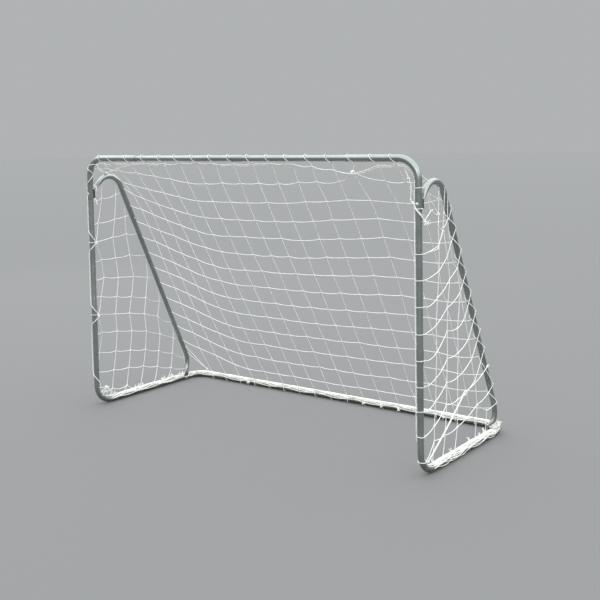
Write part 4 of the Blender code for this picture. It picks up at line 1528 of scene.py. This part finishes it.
def backNetPiece():
    made = CordMesh()
    for line in backLines["rows"] + backLines["columns"] + backLines["seams"]:
        made.cord(lineOf(line), twine)
    for j in range(1, netSizes["rows"]):
        for i in range(netSizes["columns"] + 1):
            addKnot(made, web.points[backGrid[j][i]])
    # loops over the crossbar and round the rear bar
    for i in range(1, netSizes["columns"]):
        top = web.points[backGrid[0][i]]
        lean = bendLean(top.x)
        axis = Vector((math.cos(lean), 0, -math.sin(lean)))
        centre = Vector((top.x - socketRadius * math.sin(lean), frontY, barZ - bendDrop(top.x)))
        radius = socketRadius + twine + netSizes["clear"]
        loop = ringRound(centre, axis, radius, 190, 330, 0)
        slant = chance.uniform(0.020, 0.034)
        for k, p in enumerate(loop):        # leaning to the left over the bar
            p -= axis * slant * math.sin(math.pi * k / (len(loop) - 1))
        made.cord([top] + loop + [top + Vector((0.002, 0, 0.001))], twine * 0.85)
        addKnot(made, top, 1.0)
        foot = web.points[backGrid[netSizes["rows"]][i]]
        lean = bendLean(foot.x)
        axis = Vector((math.cos(lean), -math.sin(lean), 0))
        centre = Vector((foot.x, rearY - bendDrop(foot.x), groundZ))
        loop = ringRound(centre, axis, radius + 0.0022, 20, 330, chance.uniform(0.004, 0.02))
        # under the bar the loop is pressed flat on the ground
        loop = [Vector((p.x, p.y, max(p.z, twine + 0.0006))) for p in loop]
        made.cord([foot] + loop + [foot + Vector((0.002, 0, 0))], twine)
        addKnot(made, foot, 1.1)
    # twines from the foot of the left leg to a knot above the rear corner
    seam = seamLine(-1, backSeam[-1])
    knot = Vector((-sideX + 0.088, rearY - 0.026, groundZ + 0.036))
    low = Vector((-sideX + 0.095, rearY - 0.010, groundZ + socketRadius + 0.002))
    for share in (0.905, 0.865):
        made.cord(curveThrough([alongLine(seam, share), knot], 0.02), twine)
    made.cord(curveThrough([knot, low], 0.01), twine)
    for shift in (0.0, 0.003, -0.003):
        addKnot(made, knot + Vector((shift, 0, shift)), 1.5)
    piece = made.piece("back_net")
    finishPiece(piece, "goal_frame", "net_twine", netTwine, "net_back_panel")


legWinding = {
    "lowest": sideNet["lastSeam"],
    "out": 0.0022,
    "cord": 0.0017,
    "steps": 16,
    "start": 60,            # degrees from the leg's back, where each turn leaves a knot
    "quick": 0.36,          # the share of a turn that goes quickly round the back
    "behind": 240,          # degrees in that share
    "outside": 120,         # degrees in the long slant over the outer side
}


def legRing(t):
    # a point of the cord wound round the right leg: t counts its turns, one to each row of the net
    size = legWinding
    rows = sideNet["rightRows"]
    heights = [rightLegZ(r) for r in range(len(rows))] + [size["lowest"]]
    k = min(int(t), len(heights) - 2)
    z = between(heights[k], heights[k + 1], t - k)
    for a, b in zip(hoopAxis(1)[3:], hoopAxis(1)[4:]):
        if b.z <= z <= a.z:
            at = a + (b - a) * ((a.z - z) / (a.z - b.z))
            along = (b - a).normalized()
            break
    back = Vector((1, 0, 0)).cross(along)
    part, quick = t - k, size["quick"]
    turn = size["start"] - size["behind"] * min(1.0, part / quick)
    turn -= size["outside"] * max(0.0, (part - quick) / (1 - quick))
    turn = math.radians(turn)
    return at + (tubeRadius + size["out"]) * (math.cos(turn) * back + math.sin(turn) * Vector((1, 0, 0)))


netExtras = {
    "rings": (1.096, 1.018),        # round the right upright, above the first row
    # a fan of twines from the front of the right arch, as (back from the mouth, height)
    "fanFrom": (0.055, 1.075),
    "fanTo": ((0.075, 1.009), (0.135, 0.992), (0.176, 1.036)),
    # a cluster of knots above the left lower front bend, and its twines to the bend
    "cluster": (0.055, 0.084),
    "clusterTo": ((0.010, 0.062), (0.022, 0.045), (0.050, 0.033), (0.085, 0.031), (0.100, 0.032),
                  (0.0, 0.090)),
}


def sideNetPiece(side):
    label = "left" if side < 0 else "right"
    made = CordMesh()
    lines = sideLines[side]
    for parts in lines["rows"] + lines["columns"]:
        for part in parts:
            made.cord(lineOf(part), twine)
        for part in parts[1:]:
            addKnot(made, web.points[part[0]])
    for parts in lines["columns"]:
        addKnot(made, web.points[parts[-1][-1]], 1.1)
    radius = socketRadius + twine + netSizes["clear"]
    for start, bow, tied in lines["fronts"]:
        point = web.points[start]
        if side > 0 or tied:
            ring = ringRound((side * sideX, frontY + bow, point.z), (0, -bow * 6, 1), radius, 28, 352,
                             chance.uniform(-0.007, 0.007), 20)
            made.cord(ring, twine)
            addKnot(made, point, 1.25)
    if side > 0:
        steps = legWinding["steps"]
        count = steps * len(sideNet["rightRows"])
        made.cord([legRing(k / steps) for k in range(count + 1)], legWinding["cord"])
        for z in netExtras["rings"]:
            ring = ringRound((sideX, frontY, z), (0, 0, 1), radius, 28, 352, 0.004, 20)
            made.cord(ring, twine)
        for r in range(len(sideNet["rightRows"])):
            addKnot(made, legRing(r), 1.2)
        y, z = netExtras["fanFrom"]
        start = Vector((sideX + 0.002, frontY + y, z))
        for y, z in netExtras["fanTo"]:
            made.cord(curveThrough([start, Vector((sideX + 0.006, frontY + y, z))], 0.02), twine)
    else:
        y, z = netExtras["cluster"]
        knot = Vector((-sideX + 0.008, frontY + y, z))
        for _ in range(7):
            at = knot + Vector((wander(0.004), wander(0.006), wander(0.006)))
            addKnot(made, at, chance.uniform(1.3, 2.0))
        for y, z in netExtras["clusterTo"]:
            foot = Vector((-sideX + 0.012, frontY + max(y, footBow(z) * 0.6), z))
            halfWay = (knot + foot) / 2 + Vector((0.002, 0, wander(0.003)))
            made.cord(curveThrough([knot, halfWay, foot], 0.02), twine)
    piece = made.piece(f"side_net_{label}")
    finishPiece(piece, "goal_frame", "net_twine", netTwine, f"net_{label}_panel")


backNetPiece()
sideNetPiece(-1)
sideNetPiece(1)
print("net made")


# ropes: the hem of the mouth, the rope round the ground tubes and the tie
ropeSizes = {
    "hem": 0.0019,
    "ground": 0.0026,
    "tie": 0.0022,
    "clear": 0.0005,
}


def hemPath(side):
    # up the upright from its foot to the corner, as (height, angle round the tube)
    low = groundZ + 0.055
    if side < 0:
        stops = [(low, 60), (low + 0.045, 20), (low + 0.075, -60), (0.165, -130), (0.22, -138),
                 (0.36, -132), (0.405, -100), (0.432, 10), (0.444, 38), (0.462, 0), (0.500, -110),
                 (0.54, -136), (0.66, -132), (0.755, -118), (0.785, -20), (0.801, 36), (0.818, -10),
                 (0.862, -120), (0.90, -135), (0.985, -142), (1.005, -112), (1.04, -150),
                 (1.076, -135), (1.10, -60), (1.124, 15), (1.142, -20), (1.155, -100),
                 (1.166, -140), (1.176, -80), (1.180, -40)]
    else:
        stops = [(low, 60), (low + 0.03, 100), (0.14, 190), (0.20, 214), (0.30, 218), (0.42, 210),
                 (0.55, 217), (0.68, 211), (0.80, 217), (0.90, 212), (0.955, 224), (1.0, 206),
                 (1.06, 216), (1.11, 212)]
    radius = socketRadius + ropeSizes["hem"] + ropeSizes["clear"]
    points = []
    for (z0, a0), (z1, a1) in zip(stops, stops[1:]):
        count = max(2, round(abs(a1 - a0) / 18) + round((z1 - z0) / 0.03))
        for k in range(count):
            z, turn = between(z0, z1, k / count), between(a0, a1, k / count)
            bow = bend - math.sqrt(bend ** 2 - max(0.0, z - barZ + bend) ** 2)
            points.append(onTube((side * (sideX - bow), frontY, z), turn, radius))
    return points


def hemUnderBar():
    # hangs a little below the crossbar between the net's loops
    points = []
    places = [-sideX + 0.052] + loopPlaces + [sideX - 0.052]
    for n, (a, b) in enumerate(zip(places, places[1:])):
        for k in range(4):
            share = k / 4
            x = between(a, b, share)
            sag = (0.0075 + 0.003 * math.sin(1.7 * n)) + 0.004 * math.sin(math.pi * share)
            away = x - crest["knot"][0]
            sag += 0.040 * max(0.0, 1 - abs(away) / (0.27 if away < 0 else 0.13))
            z = barZ - bendDrop(x) - socketRadius - sag
            points.append(Vector((x, frontY + 0.001 * math.sin(2.1 * n), z)))
    return points


hemPlaces = {
    # knots with cut ends under the crossbar, as (x, size)
    "barKnots": ((-0.865, 1.6), (-0.845, 1.3), (-0.47, 1.5), (-0.445, 1.2), (-0.40, 1.3)),
    "uprightKnots": (0.801, 0.444),
    # two thick cut ends near the left arch, as (height, how steeply their fibres hang)
    "cutEnds": ((1.066, -1.0), (1.000, -0.75)),
    # the doubled tie across the right upright: from the crossbar, then round the tube
    "fromBar": ((0.827, 1.189), (0.842, 1.155), (0.853, 1.130), (0.863, 1.100), (0.862, 1.068),
                (0.861, 1.048)),
    "tieTop": 1.036,
    "tieFall": 0.069,
    "tieKnot": 0.968,
    # its loose end among the twines of the right net, as (back from the mouth, height)
    "loose": ((0.046, 0.986), (0.079, 1.007), (0.115, 0.987), (0.135, 0.992), (0.130, 0.945),
              (0.170, 0.918), (0.141, 0.882), (0.125, 0.856), (0.040, 0.850)),
    # cords from the left corner to the top of the arch, as (x, height)
    "toCrown": ((-0.874, 1.158), (-0.857, 1.172), (-0.800, 1.183)),
    "thickToCrown": ((-0.50, 0.004, 1.181), (-0.60, 0.012, 1.175), (-0.70, 0.030, 1.166),
                     (-0.79, 0.056, 1.150)),
}


def mouthHemPiece():
    made = CordMesh()
    size = ropeSizes["hem"]
    left, right = hemPath(-1), hemPath(1)
    under = hemUnderBar()
    # the first cord goes all the way round, the second keeps to the crossbar
    whole = left + under
    whole += [Vector((sideX - 0.022, frontY + 0.006, 1.140))] + list(reversed(right))
    made.rope(curveThrough(whole, 0.012), size)
    second = [p + Vector((0, 0.0045, -0.0035 - 0.003 * math.sin(9 * p.x + 1))) for p in under]
    made.rope(curveThrough(second, 0.012), size * 0.9)
    for x, big in hemPlaces["barKnots"]:
        point = Vector((x, frontY + 0.002, barZ - bendDrop(x) - socketRadius - 0.010))
        addKnot(made, point, big)
        tuft(made, point, (0.2, 0.1, -1), 0.014, 0.0009, 3)
    for shift, big in (((0, 0, 0), 2.0), ((0.005, 0.001, 0.002), 1.6), ((-0.003, 0.001, -0.003), 1.5)):
        addKnot(made, crestKnot + Vector(shift), big)
    # knots where the hem crosses the left upright
    for z in hemPlaces["uprightKnots"]:
        point = onTube((-sideX, frontY, z), 38, socketRadius + 0.004)
        addKnot(made, point, 2.0)
        addKnot(made, point + Vector((0.002, 0, -0.006)), 1.6)
    # two thick cut ends on the inner side of the left upright, near the arch
    for z, lean in hemPlaces["cutEnds"]:
        start = onTube((-sideX, frontY, z + 0.010), 30, socketRadius + 0.0035)
        end = start + Vector((0.012, 0.004, -0.020))
        path = curveThrough([start, start + Vector((0.009, 0.003, -0.004)), end], 0.003)
        made.rope(path, 0.0021, pitch=0.012)
        tuft(made, end, (0.5, 0, lean), 0.008, 0.0008, 4)
        addKnot(made, start, 1.5)
    # the doubled tie across the right upright, with its ends
    radius = socketRadius + 0.0026
    fromBar = [Vector((x, frontY + 0.010, z)) for x, z in hemPlaces["fromBar"]]
    for offset, skip in ((0.0, 0), (0.0052, 3)):
        high, fall = hemPlaces["tieTop"] + offset, hemPlaces["tieFall"]
        path = [onTube((sideX, frontY, high - fall * k / 8), -158 + 205 * k / 8, radius) for k in range(9)]
        made.rope(curveThrough(fromBar[skip:] + path, 0.006), 0.0019)
    for n in (2, 5):
        addKnot(made, fromBar[n], 1.6)
    # its loose end among the twines of the right net
    loose = [onTube((sideX, frontY, hemPlaces["tieKnot"]), 42, socketRadius + 0.005)]
    loose += [Vector((sideX + 0.009, frontY + y, z)) for y, z in hemPlaces["loose"]]
    loose.append(onTube((sideX, frontY, hemPlaces["loose"][-1][1]), 30, socketRadius + 0.003))
    halved = [q for a, b in zip(loose, loose[1:]) for q in (a, (a + b) / 2)]
    made.rope(halved + [loose[-1]], 0.0019)
    for n in (2, 4, 6, 8):
        addKnot(made, loose[n], 1.7)
    # cords from the left corner and the crossbar to the top of the arch
    crown = Vector((-sideX - 0.002, frontY + 0.100, hoop["arch"].y + bend + tubeRadius + 0.002))
    for x, z in hemPlaces["toCrown"]:
        path = curveThrough([Vector((x, frontY + 0.004, z)), crown], 0.02)
        made.rope(path, 0.0013, strands=2, pitch=0.009)
    low = [Vector((x, frontY + y, z)) for x, y, z in hemPlaces["thickToCrown"]]
    made.rope(curveThrough(low + [crown], 0.01), 0.0017)
    for shift in ((0, 0, 0), (0.004, 0.004, 0.002), (0.002, -0.005, 0.003)):
        addKnot(made, crown + Vector(shift), 1.6)
    # the knot of the tie and its two cut ends
    knotAt = onTube((sideX, frontY, hemPlaces["tieKnot"]), 42, socketRadius + 0.004)
    for shift, big in (((0, 0, 0), 2.0), ((0.004, 0.002, -0.006), 1.6), ((0.001, 0.003, 0.006), 1.5)):
        addKnot(made, knotAt + Vector(shift), big)
    for direction in ((1, 0.4, 0.35), (0.9, 0.3, -0.2)):
        tail = Vector(direction).normalized()
        path = [knotAt, knotAt + tail * 0.012, knotAt + tail * 0.020 + Vector((0, 0, -0.004))]
        made.rope(curveThrough(path, 0.004), 0.0019)
        tuft(made, knotAt + tail * 0.020, tail, 0.007, 0.0008, 4)
    piece = made.piece("mouth_hem")
    finishPiece(piece, "goal_frame", "rope", ropeTwist, "mouth_hem_cord")


groundPlaces = {
    "waveLength": 0.23,
    # the net's bunched edge: (side, strands, first and last angle round the ground tube)
    "bunched": ((1, 15, -10, 185), (-1, 12, 5, 172)),
    "leftTufts": (-0.245, -0.115, -0.085, -0.060, 0.085, 0.105, 0.150, 0.165, 0.205, 0.222),
    "rightTufts": (-0.262, -0.12, 0.045, 0.13, 0.19),
    "rearTufts": (-0.53, 0.19, 0.29, 0.385, 0.62),
    "rearStrands": 11,
    "corner": 0.285,
}


def groundLine(across, z, wave, phase):
    # along the ground tubes from one front bend to the other, round both rear corners
    radius = bend + across
    x, y = sideX - bend, rearY - bend
    start = frontY + bend * 0.55
    half = [(x + radius, start + (y - start) * k / 26) for k in range(27)]
    half += [(x + radius * math.cos(math.radians(9 * k)), y + radius * math.sin(math.radians(9 * k)))
             for k in range(1, 10)]
    half += [(x * (1 - k / 30), y + radius) for k in range(1, 31)]
    flat = half + [(-px, py) for px, py in reversed(half[:-1])]
    points, length = [], 0.0
    last = Vector((*flat[0], 0))
    for px, py in flat:
        here = Vector((px, py, 0))
        length += (here - last).length
        last = here
        rise = 0.0
        if py < frontY + bend:
            rise = bend - math.sqrt(bend ** 2 - (frontY + bend - py) ** 2)
        sway = wave * math.sin(length * 2 * math.pi / groundPlaces["waveLength"] + phase)
        away = Vector((px - math.copysign(min(abs(px), x), px), py - min(py, y) if py > y else 0, 0))
        out = away.normalized() if away.length > 1e-6 else Vector((0, 1, 0))
        points.append(here + out * sway + Vector((0, 0, z + rise)))
    return points


def groundRopePiece():
    made = CordMesh()
    size = ropeSizes["ground"]
    top = groundZ + socketRadius + size + ropeSizes["clear"]
    for across, under, wave, phase in ((0.004, 0.0012, 0.0025, 0.0), (-0.003, 0.0004, 0.0025, 2.4),
                                       (0.0105, 0.0070, 0.002, 4.2)):
        made.rope(groundLine(across, top - under, wave, phase), size * 0.85, pitch=0.017)
    # the bunched edge of the net lies all over the right ground tube, and thinner on the left one
    for side, count, first, last in groundPlaces["bunched"]:
        for n in range(count):
            home = between(first, last, (n + 0.5) / count)
            phase, sway = chance.uniform(0, 6.28), chance.uniform(8, 24)
            length = chance.uniform(0.13, 0.24)
            path = []
            low = frontY + bend * chance.uniform(0.95, 1.25)
            high = rearY - bend * chance.uniform(0.90, 1.20)
            steps = 92
            for k in range(steps + 1):
                y = between(low, high, k / steps)
                turn = math.radians(home + sway * math.sin(2 * math.pi * y / length + phase))
                out = socketRadius + 0.0021 + 0.0011 * (n % 3)
                out += 0.0005 * math.sin(2 * math.pi * y / 0.047 + phase)
                # both ends sink into the strands round them
                out = between(socketRadius - 0.001, out, min(1.0, k / 6, (steps - k) / 6))
                x = side * (sideX + out * math.cos(turn))
                path.append(Vector((x, y, groundZ + out * math.sin(turn))))
            made.cord(path, chance.uniform(0.0015, 0.0021), 5)
    # tufts and knots along the left tube, and the thick knot at the right rear corner
    for y in groundPlaces["leftTufts"]:
        point = Vector((-sideX + wander(0.006), y + wander(0.006), groundZ + socketRadius + 0.007))
        addKnot(made, point, chance.uniform(1.5, 2.2))
        tuft(made, point, (wander(0.6), wander(0.6), 1), 0.016, 0.0011, 4)
    for y in groundPlaces["rightTufts"]:
        point = Vector((sideX - 0.004 + wander(0.006), y, groundZ + socketRadius + 0.008))
        addKnot(made, point, chance.uniform(1.4, 2.0))
        tuft(made, point, (-0.3, wander(0.6), 1), 0.016, 0.0011, 4)
    corner = Vector((sideX - 0.004, groundPlaces["corner"], groundZ + socketRadius + 0.006))
    for _ in range(16):
        point = corner + Vector((wander(0.016), wander(0.030), chance.uniform(-0.002, 0.016)))
        addKnot(made, point, chance.uniform(1.8, 2.8))
    for _ in range(5):
        tangle = [corner + Vector((wander(0.020), wander(0.036), chance.uniform(-0.002, 0.018)))
                  for _ in range(5)]
        made.rope(curveThrough(tangle, 0.006), 0.0019)
    for _ in range(5):
        point = corner + Vector((wander(0.01), wander(0.02), 0.012))
        tuft(made, point, (wander(1), wander(1), 0.9), 0.02, 0.0011, 4)
    # the net's edge bunched along the rear bar, over its top and the side towards the mouth
    count = groundPlaces["rearStrands"]
    for n in range(count):
        turn = between(15, 172, (n + 0.5) / count)
        out = socketRadius + 0.0018 + 0.0009 * (n % 3)
        phase = chance.uniform(0, 6.28)
        edges = []      # the strand wanders between two lines either side of its angle
        for t in (math.radians(turn - 12), math.radians(turn + 12)):
            edges.append(groundLine(out * math.cos(t), groundZ + out * math.sin(t), 0.0, 0.0))
        path = [a.lerp(b, 0.5 + 0.5 * math.sin(k * 0.8 + phase))
                for k, (a, b) in enumerate(zip(*edges)) if a.y > 0.20 + 0.01 * (n % 4)]
        made.cord(curveThrough(path, 0.012), chance.uniform(0.0016, 0.0022), 5)
    for x in groundPlaces["rearTufts"]:
        point = Vector((x, rearY - socketRadius - 0.004, groundZ + 0.002))
        for _ in range(3):
            at = point + Vector((wander(0.005), 0, wander(0.003)))
            addKnot(made, at, chance.uniform(1.3, 1.8))
        tuft(made, point, (wander(0.5), -1, -0.5), 0.014, 0.0010, 4)
    piece = made.piece("ground_rope_laid")
    finishPiece(piece, "goal_frame", "rope", ropeTwist, "ground_rope")


def tiePiece():
    # a doubled cord from the lower front bend to a small loop, then single up to the leg
    made = CordMesh()
    size = ropeSizes["tie"] * 0.82
    x = sideX + 0.005
    leg = hoop["legEnd"] - hoop["legStart"]
    end = hoop["legStart"] + leg * 0.80
    start = Vector((sideX + 0.004, frontY + 0.045, groundZ + 0.036))
    loopAt = Vector((x + 0.004, frontY + 0.330, 0.246))
    last = Vector((x + 0.010, end.x, end.y))
    for offset in (-0.0022, 0.0022):
        shift = Vector((0.001, offset, -offset * 0.6))
        sag = start + (loopAt - start) * 0.5 + shift + Vector((0, 0.004, -0.004))
        made.rope(curveThrough([start + shift, sag, loopAt + shift], 0.01), size)
    along = (last - loopAt).normalized()
    lift = Vector((1, 0, 0)).cross(along).normalized()
    loop = []
    for k in range(21):
        turn = 2 * math.pi * k / 20
        loop.append(loopAt + along * (0.012 - 0.012 * math.cos(turn)) + lift * 0.008 * math.sin(turn)
                    + Vector((0.002 * math.sin(turn / 2), 0, 0)))
    made.rope(loop, size)
    far = loopAt + along * 0.024
    sag = (far + last) / 2 + Vector((0.002, 0.003, -0.006))
    made.rope(curveThrough([far, sag, last], 0.01), size)
    for point, big in ((start, 2.0), (loopAt, 1.8), (far, 1.6), (last, 1.8)):
        addKnot(made, point, big)
    piece = made.piece("side_tie")
    finishPiece(piece, "goal_frame", "rope", ropeTwist, "side_tie_cord")


mouthHemPiece()
groundRopePiece()
tiePiece()
print("ropes made")


# the studio: floor, light and camera
studio = {
    "floorColor": (0.142, 0.143, 0.140),
    "zenith": (2.35, 2.42, 2.48),
    "horizon": (0.437, 0.450, 0.455),
    "lens": 57.57,
    "location": (2.6625, -3.4528, 1.2872),
    "yaw": 0.6414,
    "pitch": 0.0729,
    "roll": -0.0174,
    "shiftY": -0.1533,
}


def makeFloor():
    material, tree, shader = startMaterial("studio floor", studio["floorColor"], 0.9, 0.0)
    coordinates = addNode(tree, "ShaderNodeTexCoord").outputs["Object"]
    bumpFrom(tree, shader, noiseOn(tree, coordinates, 60.0, 4.0), 0.05, 0.002)
    deselectAll()
    bpy.ops.mesh.primitive_plane_add(size=120, location=(0, 0, 0))
    floor = bpy.context.object
    floor.name = "studioFloor"
    floor.data.materials.append(material)


def addArea(name, location, target, size, power, color=(1, 1, 1)):
    light = bpy.data.lights.new(name, "AREA")
    light.shape = "RECTANGLE"
    light.size, light.size_y = size
    light.energy = power
    light.color = color
    lamp = bpy.data.objects.new(name, light)
    bpy.context.scene.collection.objects.link(lamp)
    lamp.location = location
    lamp.rotation_euler = (Vector(target) - Vector(location)).to_track_quat("-Z", "Y").to_euler()


def makeStudio():
    makeFloor()
    # pale all round and brighter overhead, like a large soft ceiling
    world = bpy.data.worlds.new("studio")
    world.use_nodes = True
    tree = world.node_tree
    split = addNode(tree, "ShaderNodeSeparateXYZ")
    tree.links.new(addNode(tree, "ShaderNodeTexCoord").outputs["Generated"], split.inputs["Vector"])
    height = rangeOn(tree, split.outputs["Z"], -1.0, 1.0, 0.0, 1.0)
    horizon, zenith = studio["horizon"], studio["zenith"]
    stops = ((0.0, horizon), (0.60, horizon), (0.72, zenith), (1.0, zenith))
    tree.links.new(rampOn(tree, height, stops), tree.nodes["Background"].inputs["Color"])
    bpy.context.scene.world = world
    addArea("frontPanel", (3.4, -4.8, 3.0), (0, 0, 0.5), (3.0, 2.4), 45)
    addArea("rimPanel", (-4.5, 3.0, 3.0), (0, 0, 0.6), (2.4, 2.4), 18)
    bpy.context.scene.view_settings.view_transform = "Standard"


def makeCamera():
    camera = bpy.data.objects.new("camera", bpy.data.cameras.new("camera"))
    bpy.context.scene.collection.objects.link(camera)
    camera.data.lens = studio["lens"]
    camera.data.sensor_width = 36.0
    camera.data.shift_y = studio["shiftY"]
    yaw, pitch, roll = studio["yaw"], studio["pitch"], studio["roll"]
    forward = Vector((-math.sin(yaw) * math.cos(pitch), math.cos(yaw) * math.cos(pitch), -math.sin(pitch)))
    right = Vector((math.cos(yaw), math.sin(yaw), 0))
    up = right.cross(forward)
    tilted = right * math.cos(roll) + up * math.sin(roll)
    turned = Matrix((tilted, tilted.cross(forward), -forward)).transposed()
    camera.matrix_world = Matrix.Translation(studio["location"]) @ turned.to_4x4()
    bpy.context.scene.camera = camera


makeStudio()
makeCamera()
for leftover in list(bpy.data.objects):
    if leftover.name in ("Cube", "Light", "Camera"):
        bpy.data.objects.remove(leftover, do_unlink=True)

print("studio made")
